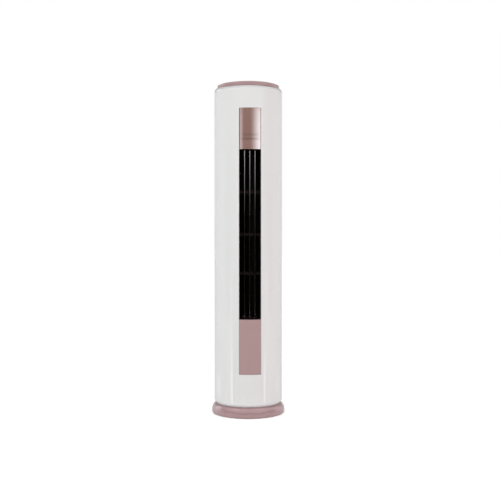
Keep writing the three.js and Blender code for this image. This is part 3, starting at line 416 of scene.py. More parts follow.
# %% Settled dust
DUST = (0.42, 0.4, 0.37, 1)
inputs = {"Colour": (0.5, 0.5, 0.5, 1), "Roughness": 0.4, "Amount": 0.3}
dust, given, result = new_group("settled_dust", inputs, ["Colour", "Roughness"])
normal = put(dust, "ShaderNodeNewGeometry").outputs["Normal"]
upward = math(dust, "MAXIMUM", put(dust, "ShaderNodeSeparateXYZ", {0: normal}).outputs["Z"], 0.0)
patches = math(dust, "MULTIPLY", noise(dust, 60.0, 5.0), given["Amount"])
lying = math(dust, "MULTIPLY", upward, patches)
dulled = math(dust, "MULTIPLY_ADD", lying, 0.5, given["Roughness"])
feed(dust, result, Colour=blend(dust, lying, given["Colour"], DUST), Roughness=dulled)

# %% [markdown]
# ### One finish for each slot
#
# A finish is a Principled shader fed by those groups. What is the same all over it, such as its metallic
# share or the coat's roughness, is set on the shader's own sockets.

# %% The finish builders
finishes = {}


def new_material(name):
    """A material with nodes. Gives it and its node tree."""
    made = bpy.data.materials.new(name)
    made.use_nodes = True
    return made, made.node_tree


def new_finish(slot, **plain):
    """A slot's material, with a Principled shader whose plain values are set on its sockets."""
    finishes[slot], tree = new_material(slot)
    shader = tree.nodes["Principled BSDF"]
    for socket, value in plain.items():
        shader.inputs[socket.replace("_", " ")].default_value = value
    print("finish:", slot)
    return tree, shader


def source(shader, title):
    """What feeds one of the shader's inputs so far."""
    return shader.inputs[title].links[0].from_socket


def bump(tree, shader, height, distance, strength=0.3):
    """Feeds a height to the shader's normal. The distance is the relief's real depth in metres."""
    node = put(tree, "ShaderNodeBump", {"Height": height, "Distance": distance, "Strength": strength})
    feed(tree, shader, Normal=node.outputs[0])


# %% Moulded, pearled and rolled finishes


def moulded(slot, colour, roughness, drift=0.03, gloss=0.05, peel=400.0, depth=0.00004, settled=0, **plain):
    """Moulded or painted: the skin group, then dust where some has settled."""
    tree, shader = new_finish(slot, **plain)
    inputs = {"Colour": (*colour, 1), "Tone drift": drift, "Roughness": roughness, "Gloss drift": gloss,
              "Peel size": peel}
    part = surface = grouped(tree, skin, inputs)
    if settled:
        inputs = {"Colour": part["Colour"], "Roughness": part["Roughness"], "Amount": settled}
        surface = grouped(tree, dust, inputs)
    feed(tree, shader, Base_Color=surface["Colour"], Roughness=surface["Roughness"])
    bump(tree, shader, part["Height"], depth)
    return tree, shader


def pearled(slot, colour, roughness, glint, **plain):
    """Pearl paint: the moulded skin's tone, with the flakes' glints over it."""
    tree, shader = moulded(slot, colour, roughness, drift=0.04, gloss=0.05, **plain)
    flecked = grouped(tree, pearl, {"Colour": source(shader, "Base Color"), "Glint": glint})["Colour"]
    feed(tree, shader, Base_Color=flecked)
    return tree, shader, flecked


def rolled(slot, colour, roughness, spread=0.25, across=900.0, along=12.0, settled=0.25):
    """Bare metal: rolling lines, a slow drift in tone, and some dust on what faces up."""
    tree, shader = new_finish(slot, Metallic=1.0)
    inputs = {"Across": across, "Along": along, "Roughness": roughness, "Spread": spread}
    part = grouped(tree, lines, inputs)
    tint = shaded(tree, (*colour, 1), swayed(tree, noise(tree, 9.0, 3.0), 0.2, 1.0))
    lying = grouped(tree, dust, {"Colour": tint, "Roughness": part["Roughness"], "Amount": settled})
    feed(tree, shader, Base_Color=lying["Colour"], Roughness=lying["Roughness"])
    bump(tree, shader, part["Height"], 0.00003)


# %% [markdown]
# ### The outside finishes
#
# The cabinet is gloss white with a clear skin. The cap and the base are a dusty pink pearl under a clear
# coat, and the panel below the louvre is a satin version of it.

# %% White and pinks
moulded("gloss_white", (0.73, 0.725, 0.723), 0.12, drift=0.012, gloss=0.04, peel=260.0, depth=0.00001,
        Coat_Weight=0.1, Coat_Roughness=0.05)
pearled("dusty_pink", (0.405, 0.258, 0.262), 0.34, 0.12, Metallic=0.15, Coat_Weight=1.0, Coat_Roughness=0.03)
pearled("satin_pink", (0.452, 0.303, 0.303), 0.42, 0.10, Metallic=0.15)

# %% [markdown]
# The display panel is a clear moulding with a thin metal film on its back, so it mirrors the studio in rose
# gold. Its two sides are painted darker, a painted shade along the panel's edges. Two faint bars lie across
# it where the unlit display shows through. Below them it is painted a little lighter, and a painted
# highlight runs along its lower edge. All of these are functions of the angle and the height, multiplied
# together.

# %% Rose gold
tree, shader, flecked = pearled("rose_gold", (0.80, 0.52, 0.455), 0.12, 0.05, Metallic=0.92, Coat_Weight=0.5,
                                Coat_Roughness=0.05)
# The darker sides are painted shade; the lighter band below the bars and the bright lower edge are painted
# highlights.
SHADED_SIDES, BAR_SIDES = WINDOW_HALF - np.radians((1.0, 1.7)), np.radians((15, 11))
BARS = ((1.508, 0.0105, -0.12), (1.486, 0.0075, -0.17))
PAINTED_HIGHLIGHTS = (((1.479, 1.473), 0.1), ((LOUVRE_TOP + 0.004, LOUVRE_TOP + 0.002), 0.3))
SIDE_SHADE, UNSHADED = 0.45, 1.0
turn, _, _, z = cabinet_place(tree)
aside = math(tree, "ABSOLUTE", turn)
# Painted shade: the panel is darker towards its two sides.
film_and_side_shade, within = ramp(tree, aside, *SHADED_SIDES), ramp(tree, aside, *BAR_SIDES)
marks = []
for middle, half, change in BARS:
    bar = ramp(tree, off_by(tree, z, middle), half, half * 0.35)
    marks.append((math(tree, "MULTIPLY", bar, within), change))
# Painted highlights: lighter below the bars, and brightest along the lower edge.
marks += [(ramp(tree, z, *levels), change) for levels, change in PAINTED_HIGHLIGHTS]
shade = math(tree, "MULTIPLY_ADD", film_and_side_shade, UNSHADED - SIDE_SHADE, SIDE_SHADE)
for mask, change in marks:
    shade = math(tree, "MULTIPLY", shade, math(tree, "MULTIPLY_ADD", mask, change, 1.0))
feed(tree, shader, Base_Color=shaded(tree, flecked, shade))

# %% [markdown]
# ### The louvre and the inside
#
# Everything behind the window is black so that the eye stops at the blades. Each blade's front edge carries
# a thin bright film, the only part of it that catches the light, so the finish turns to metal ahead of a
# line in the blade, 21 mm before its pivot. The inner works get the finish of what they are made of: zinc
# plated sheet, drawn copper, turned brass, moulded plastics, rubber and circuit board.

# %% The blades' finish
FILM_EDGE, FILM_FADE = PIVOT_Y - 0.0210, 0.0005
tree, shader = moulded("dark_blade", (0.009, 0.0075, 0.0075), 0.34, drift=0.08, gloss=0.08, peel=700.0,
                       depth=0.00003, Coat_Weight=0.1)
film_and_side_shade = ramp(tree, cabinet_place(tree)[2], FILM_EDGE, FILM_EDGE - FILM_FADE)
bright = blend(tree, film_and_side_shade, source(shader, "Base Color"), (0.88, 0.70, 0.64, 1))
smoother = math(tree, "MULTIPLY_ADD", film_and_side_shade, -0.25, source(shader, "Roughness"))
feed(tree, shader, Base_Color=bright, Roughness=smoother, Metallic=film_and_side_shade)

# %% Dark, grey and bare metals
moulded("black_plastic", (0.020, 0.0085, 0.009), 0.55, drift=0.1, gloss=0.1, peel=900.0, depth=0.00006,
        Specular_IOR_Level=0.2)
moulded("grey_plastic", (0.25, 0.255, 0.26), 0.55, drift=0.06, gloss=0.1, peel=800.0, settled=0.3)
moulded("filter_grey", (0.6, 0.605, 0.61), 0.42, drift=0.03, gloss=0.08, peel=600.0)
moulded("rubber", (0.018, 0.018, 0.018), 0.85, drift=0.15, gloss=0.08, peel=1400.0, depth=0.00012,
        settled=0.4)
moulded("white_foam", (0.74, 0.74, 0.72), 0.8, drift=0.05, gloss=0.1, peel=300.0, depth=0.0004, settled=0.2)
rolled("zinc_steel", (0.62, 0.64, 0.66), 0.38)
rolled("brass", (0.72, 0.5, 0.2), 0.3, spread=0.15, across=60.0, along=1400.0, settled=0.1)
rolled("copper", (0.83, 0.42, 0.26), 0.28, spread=0.2, settled=0.1)

# %% [markdown]
# ### Fins and circuit board
#
# The evaporator is a stack of upright fins, 1.6 mm apart, bent round with the coil. Modelled one by one
# they would be hundreds of faces that nobody sees past the filters, so the block's finish carries them: the
# angle round the cabinet, counted in fins, drives a wave for shade and relief. The circuit board gets
# tracks from a brick pattern.

# %% The fin pack's finish
FIN_PITCH, FIN_RELIEF = 0.0016, 0.0006
COIL_OUTER, COIL_INNER = 0.138, 0.112
tree, shader = new_finish("fin_aluminium", Metallic=1.0)
coil_middle = (COIL_OUTER + COIL_INNER) / 2
count = math(tree, "MULTIPLY", cabinet_place(tree)[0], coil_middle / FIN_PITCH * 2 * np.pi)
wave = math(tree, "MULTIPLY_ADD", math(tree, "SINE", count), 0.5, 0.5)
gap = math(tree, "POWER", wave, 2.5)
# The dark between the fins is painted shade.
striped = blend(tree, gap, (0.62, 0.63, 0.65, 1), (0.05, 0.05, 0.055, 1))
feed(tree, shader, Base_Color=striped, Roughness=math(tree, "MULTIPLY_ADD", gap, 0.4, 0.3))
bump(tree, shader, math(tree, "SUBTRACT", 1.0, gap), FIN_RELIEF, 0.6)

# %% The circuit board's finish
TRACKS_TO_THE_METRE = 160
tree, shader = new_finish("board_green", Coat_Weight=0.4, Coat_Roughness=0.2)
facing = {"Vector": object_place(tree), "Rotation": (np.pi / 2, 0, 0), "Scale": (TRACKS_TO_THE_METRE,) * 3}
front_on = put(tree, "ShaderNodeMapping", facing).outputs[0]
pattern = {"Vector": front_on, "Scale": 1.0, "Mortar Size": 0.06, "Mortar": (0.08, 0.2, 0.09, 1),
           "Color1": (0.02, 0.1, 0.045, 1), "Color2": (0.025, 0.13, 0.055, 1)}
tracks = put(tree, "ShaderNodeTexBrick", pattern).outputs
smooth = math(tree, "MULTIPLY_ADD", tracks["Fac"], 0.2, 0.35)
feed(tree, shader, Base_Color=tracks["Color"], Roughness=smooth)
bump(tree, shader, tracks["Fac"], 0.00005)

# %% [markdown]
# ### The filter net
#
# Each cassette carries a fine net. Woven threads 1.3 mm apart are drawn by two sets of lines, one round the
# cabinet and one up it, and the shader is see-through between them.

# %% The net's finish
NET_PITCH, NET_RADIUS, THREAD = 0.0013, 0.182, 0.14
tree, shader = new_finish("filter_net", Roughness=0.7)
turn, _, _, z = cabinet_place(tree)
up = math(tree, "PINGPONG", math(tree, "DIVIDE", z, NET_PITCH), 0.5)
across = math(tree, "PINGPONG", math(tree, "MULTIPLY", turn, NET_RADIUS / NET_PITCH), 0.5)
thread = math(tree, "LESS_THAN", math(tree, "MINIMUM", up, across), THREAD)
dull = blend(tree, noise(tree, 300.0), (0.05, 0.055, 0.06, 1), (0.12, 0.125, 0.13, 1))
feed(tree, shader, Base_Color=dull, Alpha=thread)

# %% [markdown]
# The solids that have no skin of their own, such as the trays, walls, pipes and motors behind the window,
# are shown as they were packed. They only need their finish, which the part's own table names for each of
# them.

# %% Every carried-over node takes its slot's finish
for row in frame["record"]["subparts"]:
    node = frame["nodes"][row["node"]]
    for place in node.material_slots:
        place.material = finishes[row["material_slot"]]
print(len(finishes), "finishes")

# %% [markdown]
# ## The shells
#
# The cabinet's skin is two moulded half tubes that meet in a hairline seam behind each side. Each has a
# foot that turns in over the base, with a small lip under its outer edge, a chamfer above that, a straight
# wall, and a shoulder that tucks in under the cap and comes down lower at the front. One profile serves
# both, so they are sure to meet, and the windows are cells of its grid that are left out. The inner side is
# the same profile, moved in by the wall. Its corners are written in millimetres, and MM makes them metres.

# %% The shells' shared section
SEAM = np.radians(100)
SHELL_BOTTOM, RIM_LEVEL, RIM_DROP = 0.058, 1.791, 0.017
FOOT = [(-22, 0), (-13.5, 0), (-10.6, -1.0), (0, 11.4), (0, 24)]
SHOULDER = [(0, -26), (0, -17), (-16, -0.4), (-32, 0)]


def rim_drop(angle):
    """How far the shoulder comes down: RIM_DROP times c (2 - c), where c is cos(angle) to the power 1.15.

    It is nearly flat across the front and dies away at the sides; behind, c is 0.
    """
    ahead = np.clip(np.cos(angle), 0, None) ** 1.15
    return RIM_DROP * ahead * (2 - ahead)


def shell_grid(angle, levels):
    """Outer and inner grids: the profile's radius and height, lowered by rim_drop above the window.

    Gives the row of the first level too.
    """
    foot = softened(FOOT, [0, 0.5, 1.6, 5, 0]) * MM + (SHELL_RADIUS, SHELL_BOTTOM)
    shoulder = softened(SHOULDER, [0, 8, 4, 0]) * MM + (SHELL_RADIUS, RIM_LEVEL)
    straight = np.array([(SHELL_RADIUS, z) for z in levels])
    profile = np.concatenate([foot, straight, shoulder])
    inside = inset(profile, SHELL_WALL)
    inside[[0, -1], 0] = profile[[0, -1], 0]
    drop = rim_drop(angle)[:, None] * (profile[:, 1] > WINDOW_TOP + 0.01)
    outer, inner = (around(p[:, 0], angle[:, None], p[:, 1] - drop) for p in (profile, inside))
    return outer, inner, len(foot)


def shell(name, marks, levels):
    """One shell's wall. Its windows lie between the two middle marks, and between each pair of levels."""
    angle = columns(*marks)
    outer, inner, first = shell_grid(angle, levels)
    solid = np.ones((len(angle) - 1, outer.shape[1] - 1), bool)
    between = (angle[:-1] + angle[1:]) / 2
    for row in range(first, first + len(levels), 2):
        solid[(between > marks[1]) & (between < marks[2]), row] = False
    return piece(f"{name}_skin", *wall(outer, inner, solid), "cabinet", "gloss_white", [name])


print("the shoulder comes down", round(1000 * float(rim_drop(0.0)), 1), "mm at the front")


# %% The front shell and its window
SHELL_EDGE = 0.0006
seam = SEAM - SEAT / 2 / SHELL_RADIUS
front = shell("front_shell", (-seam, -WINDOW_HALF, WINDOW_HALF, seam), [WINDOW_BOTTOM, WINDOW_TOP])
soft_edges(front, SHELL_EDGE)

# %% [markdown]
# The rear shell has two intake windows with a rail between them, a round hole for the pipes on one side and
# a small one for the supply lead on the other. The round holes don't follow the grid, so a Boolean drills
# them, and its result is applied at once so that nothing is left live.

# %% Holes through the rear shell
SERVICE_LEVEL, PIPE_HOLE, GLAND = 0.150, 0.034, 0.0103
PIPE_ANGLE, GLAND_ANGLE = np.radians(150), np.radians(210)
DRILL_REACH = (0.16, 0.21)


def radial(points, angle, level):
    """Stands a shape that was made on the vertical axis on the cabinet's side: its z becomes the way out."""
    side, up, out = around(1.0, angle + np.pi / 2, 0.0), np.array([0, 0, 1.0]), around(1.0, angle, 0.0)
    return points[:, :1] * side + points[:, 1:2] * up + points[:, 2:] * out + level * up


def drill(made, radius, angle, level):
    """Cuts a round hole through the shell's wall with a 64-sided bar, and keeps the result as the mesh."""
    points, faces = bars([circle(radius, 0, 0, 64)], *DRILL_REACH)
    cutter = piece("drill", radial(points, angle, level), faces, "cabinet", "gloss_white")
    cut = made.modifiers.new("drill", "BOOLEAN")
    cut.operation, cut.object, cut.solver = "DIFFERENCE", cutter, "EXACT"
    drilled = bpy.data.meshes.new_from_object(made.evaluated_get(bpy.context.evaluated_depsgraph_get()))
    made.modifiers.remove(cut)
    made.data = drilled
    bpy.data.objects.remove(cutter)


print("the pipe hole is", round(2000 * PIPE_HOLE, 1), "mm wide")


# %% The rear shell and its windows
INTAKE_HALF = np.radians(62)
INTAKE_BOTTOM, INTAKE_TOP, INTAKE_RAIL = 0.540, 1.418, 0.010
FILTER_HEIGHT = (INTAKE_TOP - INTAKE_BOTTOM - INTAKE_RAIL) / 2
RAIL_BOTTOM = INTAKE_BOTTOM + FILTER_HEIGHT
RAIL_TOP = RAIL_BOTTOM + INTAKE_RAIL
seam = SEAM + SEAT / 2 / SHELL_RADIUS
marks = (seam, np.pi - INTAKE_HALF, np.pi + INTAKE_HALF, 2 * np.pi - seam)
rear = shell("rear_shell", marks, [INTAKE_BOTTOM, RAIL_BOTTOM, RAIL_TOP, INTAKE_TOP])
drill(rear, PIPE_HOLE, PIPE_ANGLE, SERVICE_LEVEL)
drill(rear, GLAND, GLAND_ANGLE, SERVICE_LEVEL)
soft_edges(rear, SHELL_EDGE)
print("rear shell after drilling:", len(rear.data.polygons), "faces")

# %% [markdown]
# ## Cap and base
#
# The cap is a shallow domed lid whose rim reaches down to the shoulder and leans forward a little, so its
# profile changes with the angle. The base is a bulging ring, like a soft cushion that the cabinet stands
# in. A cushion's section is no circle: it is fuller. Two quarters of a superellipse, |x/a|^p + |z/b|^p = 1,
# meet at the widest point, and the power p says how full each one is.

# %% The top cap
CABINET_TOP, CAP_RADIUS, CAP_WALL, CAP_STEPS = 1.800, 0.170, 0.003, 160
RIM_TOP, RIM_RISE, DOME_START = 1.796, 0.0035, 0.92


def cap_profile(edge, top):
    """The cap's section where its rim spans from `edge` to `top`. Its dome sinks as (r / R)^2."""
    inside = CAP_RADIUS - CAP_WALL
    r = np.linspace(DOME_START, 0, 14) * CAP_RADIUS
    dome = np.stack([r, CABINET_TOP - (CABINET_TOP - top) * (r / CAP_RADIUS) ** 2], -1)
    corners = [(0, CABINET_TOP - CAP_WALL), (inside, top - CAP_WALL), (inside, edge), (CAP_RADIUS, edge),
               (CAP_RADIUS, top), dome[0]]
    return np.concatenate([softened(corners, [0, 0.001, 0.0006, 0.001, 0.002, 0], steps=8), dome[1:]])


drop = rim_drop(np.linspace(0, 2 * np.pi, CAP_STEPS, endpoint=False))
edges = RIM_LEVEL - drop + SEAT
tops = RIM_TOP + RIM_RISE * (1 - drop / RIM_DROP)
cap = revolved(np.stack([cap_profile(edge, top) for edge, top in zip(edges, tops)]), segments=CAP_STEPS)
piece("top_cap_skin", *cap, "cabinet", "dusty_pink", ["top_cap"])

# %% The base ring
RING_RADIUS, RING_WIDEST, RING_WALL = 0.200, 0.021, 0.0028
RING_INSIDE, RING_TOP = 0.1723, 0.0564


def quarter(reach, rise, power, steps=16):
    """A quarter of a superellipse: from the ring's widest point to `rise` above or below it.

    x = cos(t)^(2/p) and z = sin(t)^(2/p), where p is the power and t goes from 0 to 90 degrees.
    """
    t = np.linspace(0, np.pi / 2, steps + 1)
    x, z = np.cos(t) ** (2 / power), np.sin(t) ** (2 / power)
    return np.stack([RING_RADIUS - reach * (1 - x), RING_WIDEST + rise * z], -1)


lower, upper = quarter(0.010, -0.020, 3.4)[::-1], quarter(0.024, RING_TOP - RING_WIDEST, 1.85)
bulge = np.concatenate([lower, upper[1:], [(RING_INSIDE, RING_TOP)]])
back = inset(bulge, RING_WALL)
back[-1] = RING_INSIDE, RING_TOP - RING_WALL
ring = revolved(np.concatenate([bulge, back[::-1]]), segments=200)
piece("base_ring_skin", *ring, "cabinet", "dusty_pink", ["base_ring"])

# %% [markdown]
# Four rubber feet carry the weight. Each is a short turned stub with a soft lower edge and a shallow hollow
# in its sole, so a revolved profile makes it.

# %% The feet
FEET_CIRCLE = 0.140
sole = np.array([(0, 0.9), (5, 0.9), (7, 0), (17, 0), (15, 8), (0, 8)]) * MM
foot = softened(sole, np.array([0, 0.8, 0.8, 1.5, 0.6, 0]) * MM)
for name, degrees in (("front_left", -45), ("front_right", 45), ("rear_right", 135), ("rear_left", 225)):
    x, y, _ = around(FEET_CIRCLE, np.radians(degrees), 0.0)
    piece(f"foot_{name}_skin", *revolved(foot, (x, y), 48), "cabinet", "rubber", [f"foot_{name}"])

# %% [markdown]
# ## The window's two panels
#
# The display panel and the panel below the louvre follow the cabinet's curve, set back by 1.3 mm, with an
# edge rounded by 0.8 mm. The rounding is part of the grid, which has close rows only there: near an edge
# the radius falls as on a circle, by s - sqrt(s^2 - (s - d)^2) at a distance d.

# %% The panels
SETBACK, PANEL_EDGE, PANEL_TUCK = 0.0013, 0.0008, 0.0014


def rounded_marks(low, high, soft, middle):
    """Places from low to high: close together inside `soft` of each end, and `middle` steps between.

    The close ones lie soft (1 - cos t) from the end, where t goes from 0 to 90 degrees. Two more lie just
    past `soft`, so that the smooth shading of the rounding ends there.
    """
    near = soft * np.append(1 - np.cos(np.linspace(0, np.pi / 2, 6)), (1.1, 1.5))
    between = np.linspace(low + near[-1], high - near[-1], middle + 1)[1:-1]
    return np.concatenate([low + near, between, (high - near)[::-1]])


def panel(name, bottom, top, slot):
    """A curved panel whose outer edge is rounded by the distance to its nearest side."""
    reach = WINDOW_HALF - GAP / SHELL_RADIUS
    radius = SHELL_RADIUS - SETBACK
    angle = rounded_marks(-reach, reach, PANEL_EDGE / radius, 32)
    level = rounded_marks(bottom, top, PANEL_EDGE, 12)
    from_side = (reach - np.abs(angle))[:, None] * radius
    distance = np.minimum(from_side, np.minimum(level - bottom, top - level)[None])
    fall = PANEL_EDGE - np.sqrt(PANEL_EDGE**2 - np.clip(PANEL_EDGE - distance, 0, PANEL_EDGE) ** 2)
    outer = around(radius - fall, angle[:, None], level[None])
    inner = around(SHELL_RADIUS - SHELL_WALL, angle[:, None], level[None])
    return piece(f"{name}_skin", *wall(outer, inner), "cabinet", slot, [name], smooth=50)


panel("display_panel", LOUVRE_TOP, WINDOW_TOP - GAP, "rose_gold")
panel("lower_panel", WINDOW_BOTTOM + GAP, LOUVRE_BOTTOM - PANEL_TUCK, "satin_pink")

# %% [markdown]
# ## The blades
#
# Three upright blades swing together. Each is a thin wing: a blunt nose, its full 3 mm at the pivot, and a
# tail that thins to 1.2 mm. The thickness is a function of the distance from the pivot, so the two sides
# are two grids of a wall. The nose is a shallow arc, because it is the width of that arc that shows as a
# bright line. At each cross stay the rear of the blade is cut away, so that the pin can sit in its clip.
# Places along the blade are in millimetres from the pivot, and heights are in metres as elsewhere.

# %% A blade's thickness
NOSE, NOSE_RADIUS, NOSE_HALF = -22, 3.0, 1.3
TAIL, TAIL_HALF = 27.4, 0.6
PIVOT_HALF = 1.5


def half_thickness(s):
    """Half the thickness at s from the pivot: an arc of radius R, x^2 = 2 R d at a depth d, then tapers.

    The tail ends in a half circle: sqrt(1 - u^2), where u goes from 0 to 1 over its last TAIL_HALF.
    """
    nose = np.sqrt(2 * NOSE_RADIUS * np.clip(s - NOSE, 0, None))
    taper = np.interp(s, [NOSE + 1, 0, TAIL], [NOSE_HALF, PIVOT_HALF, TAIL_HALF])
    tail = np.sqrt(np.clip(1 - np.clip((s - TAIL) / TAIL_HALF, 0, 1) ** 2, 0, 1))
    return np.minimum(nose, taper * tail) * MM


print("a blade is", round(2000 * float(half_thickness(0.0)), 2), "mm thick at its pivot")

# %% A blade's grid and its notches
STAYS = LOUVRE_TOP - np.array([0.224, 0.452, 0.662])
TIE_BAR = 1.400
STAY_CUT, TIE_CUT, END_GAP = -10.8, 14, 0.004
STAY_NOTCH, TIE_BELOW, TIE_ABOVE = 0.012, 0.007, 0.010
nose = NOSE + np.append(np.linspace(0, NOSE_HALF, 8) ** 2 / (2 * NOSE_RADIUS), (0.4, 1.0))
tail = TAIL + TAIL_HALF * np.sin(np.linspace(0, np.pi / 2, 5))
chord = np.concatenate([nose, [STAY_CUT, -4, 0, 7, TIE_CUT, 21], tail])
notches = [(z - STAY_NOTCH, z + STAY_NOTCH, STAY_CUT) for z in STAYS]
notches.append((TIE_BAR - TIE_BELOW, TIE_BAR + TIE_ABOVE, TIE_CUT))
ends = [LOUVRE_BOTTOM + END_GAP, LOUVRE_TOP - END_GAP]
level = np.sort(np.concatenate([ends, *[n[:2] for n in notches]]))
middle_s, middle_z = (chord[:-1] + chord[1:]) / 2, (level[:-1] + level[1:]) / 2
blade_solid = np.ones((len(middle_s), len(middle_z)), bool)
for low, high, start in notches:
    blade_solid &= ~((middle_s[:, None] > start) & (middle_z > low) & (middle_z < high))
print("a blade's grid:", blade_solid.shape, "cells, of which", int((~blade_solid).sum()), "are cut away")

# %% [markdown]
# A blade turns on a pin at its foot, one at its top and one through each stay's clip, and a crank pin near
# its tail carries the tie bar. The middle blade's top pin is thicker and longer: it is the hub that takes
# the swing motor's shaft. All are upright bars, so one call makes each blade's set. Their radii are in
# millimetres too.

# %% The blades and their pins
BLADE_PITCH = 0.028
PIN, CRANK_PIN, HUB = 2.2, 1.8, 4.9
CRANK, PIN_SEAT, BLADE_EDGE = 22, 0.0027, 0.0003
PIN_LENGTH, HUB_LENGTH, STAY_PIN, CRANK_BELOW, CRANK_ABOVE = 0.007, 0.016, 0.015, 0.010, 0.013
thick = half_thickness(chord)
y = PIVOT_Y + chord * MM
for i, name in enumerate(("left", "middle", "right")):
    x = (i - 1) * BLADE_PITCH
    sides = []
    for half in (thick, -thick):
        sides.append(np.stack(np.broadcast_arrays((x + half)[:, None], y[:, None], level), -1))
    body, node = f"{name}_blade", [f"blade_{name}"]
    blade = piece(f"blade_{name}_skin", *wall(*sides, blade_solid), body, "dark_blade", node)
    soft_edges(blade, BLADE_EDGE)
    top_pin, length = (HUB, HUB_LENGTH) if name == "middle" else (PIN, PIN_LENGTH)
    rods = [(PIN, 0, z - STAY_PIN, z + STAY_PIN) for z in STAYS]
    rods += [
        (CRANK_PIN, CRANK, TIE_BAR - CRANK_BELOW, TIE_BAR + CRANK_ABOVE),
        (PIN, 0, LOUVRE_BOTTOM - PIN_SEAT, LOUVRE_BOTTOM + PIN_LENGTH),
        (top_pin, 0, LOUVRE_TOP - length, LOUVRE_TOP + PIN_SEAT),
    ]
    outlines = [circle(r * MM, x, PIVOT_Y + s * MM) for r, s, _, _ in rods]
    pins = bars(outlines, [r[2] for r in rods], [r[3] for r in rods])
    piece(f"blade_{name}_pins", *pins, body, "dark_blade", node)

# %% [markdown]
# Where a blade's pin crosses a stay, it sits in a snap clip, open to the front. They are the small points
# that catch the light in the dark window. Each is a ring with a gap: an arc there on the outside and back
# inside.

# %% The clips
CLIP_OUTER, CLIP_INNER, CLIP_HALF, CLIP_EDGE = 0.0050, 0.0025, 0.0052, 0.0004
swing = np.radians(np.linspace(-55, 235, 25))
arcs = [np.stack([r * np.cos(swing), r * np.sin(swing)], -1) for r in (CLIP_OUTER, CLIP_INNER)]
open_ring = np.concatenate([arcs[0], arcs[1][::-1]])
places = [(x, z) for x in (-BLADE_PITCH, 0, BLADE_PITCH) for z in STAYS]
outlines = [open_ring + (x, PIVOT_Y) for x, _ in places]
levels = np.array([z for _, z in places])
clips = bars(outlines, levels - CLIP_HALF, levels + CLIP_HALF)
soft_edges(piece("blade_clips", *clips, "cabinet", "black_plastic"), CLIP_EDGE)

# %% [markdown]
# ## The cross-flow fan
#
# Behind the blades turns a long drum of curved blades. A real drum has some three dozen of them between
# discs, so the skin has that many: each is a thin crescent that leans forward, repeated round the axis by
# one array.

# %% The fan's blades
FAN_Y, FAN_RADIUS = 0.010, 0.056
FAN_BLADES, FAN_LEAN, FAN_BLADE_HALF = 36, np.radians(7.5), 0.0006
FAN_BLADE_START, FAN_BLADE_REACH, FAN_CLEAR, DISC_BITE = 0.79, 0.18, 0.007, 0.001
FAN_BOTTOM, FAN_TOP = LOUVRE_BOTTOM + FAN_CLEAR, LOUVRE_TOP - FAN_CLEAR
t = np.linspace(0, 1, 6)
reach = FAN_RADIUS * (FAN_BLADE_START + FAN_BLADE_REACH * t)
lean = FAN_LEAN * t**2
half = FAN_BLADE_HALF / reach
crescent = np.concatenate([np.stack([reach, lean - half], -1), np.stack([reach, lean + half], -1)[::-1]])
turns = np.linspace(0, 2 * np.pi, FAN_BLADES, endpoint=False)[:, None] + crescent[:, 1]
outlines = np.stack([crescent[:, 0] * np.cos(turns), FAN_Y + crescent[:, 0] * np.sin(turns)], -1)
drum = bars(outlines, FAN_BOTTOM + DISC_BITE, FAN_TOP - DISC_BITE)
print("fan:", len(outlines), "blades")

# %% The fan's discs and shafts
FAN_DISCS, DISC, DISC_HOLE, DISC_EDGE = 9, 0.003, FAN_RADIUS * 0.74, 0.0008
AXLE, HUB_RADIUS, AXLE_BOTTOM = 0.004, 0.012, 0.507
HUB_BELOW, HUB_ABOVE = 0.020, 0.002
discs = []
for z in np.linspace(FAN_BOTTOM, FAN_TOP - DISC, FAN_DISCS):
    hole = 0 if z in (FAN_BOTTOM, FAN_TOP - DISC) else DISC_HOLE
    section = [(hole, z), (FAN_RADIUS, z), (FAN_RADIUS, z + DISC), (hole, z + DISC)]
    discs.append(revolved(softened(section, [0, DISC_EDGE, DISC_EDGE, 0]), (0, FAN_Y), 72))
shafts = [circle(AXLE, 0, FAN_Y), circle(HUB_RADIUS, 0, FAN_Y)]
hub = bars(shafts, [AXLE_BOTTOM, FAN_TOP - HUB_BELOW], [FAN_BOTTOM + DISC_BITE, FAN_TOP + HUB_ABOVE])
piece("fan_drum", *together(drum, *discs, hub), "fan", "dark_blade", ["fan_rotor"])

# %% [markdown]
# ## The intake
#
# Behind, two filter cassettes close the intake windows: a rim, upright ribs, a hoop across, and a net. The
# ribs and slots are cells of one wall that are kept or left out. The upper rim has a finger scoop, a smooth
# dent in the outer grid. The net is a thin sheet held inside the ribs' thickness.

# %% A cassette
FILTER_SLOTS, FILTER_BORDER, FILTER_WALL = 18, np.radians(3), 0.005
FILTER_RIM, HOOP_HALF, FILTER_EDGE = 0.014, 0.004, 0.0005
NET_RIM, NET_SIDE, NET_FACES = 0.010, np.radians(2), (0.0008, 0.0004)
SCOOP_HALF, SCOOP_RISE, SCOOP_DEPTH = 0.024, 0.0055, 0.0026


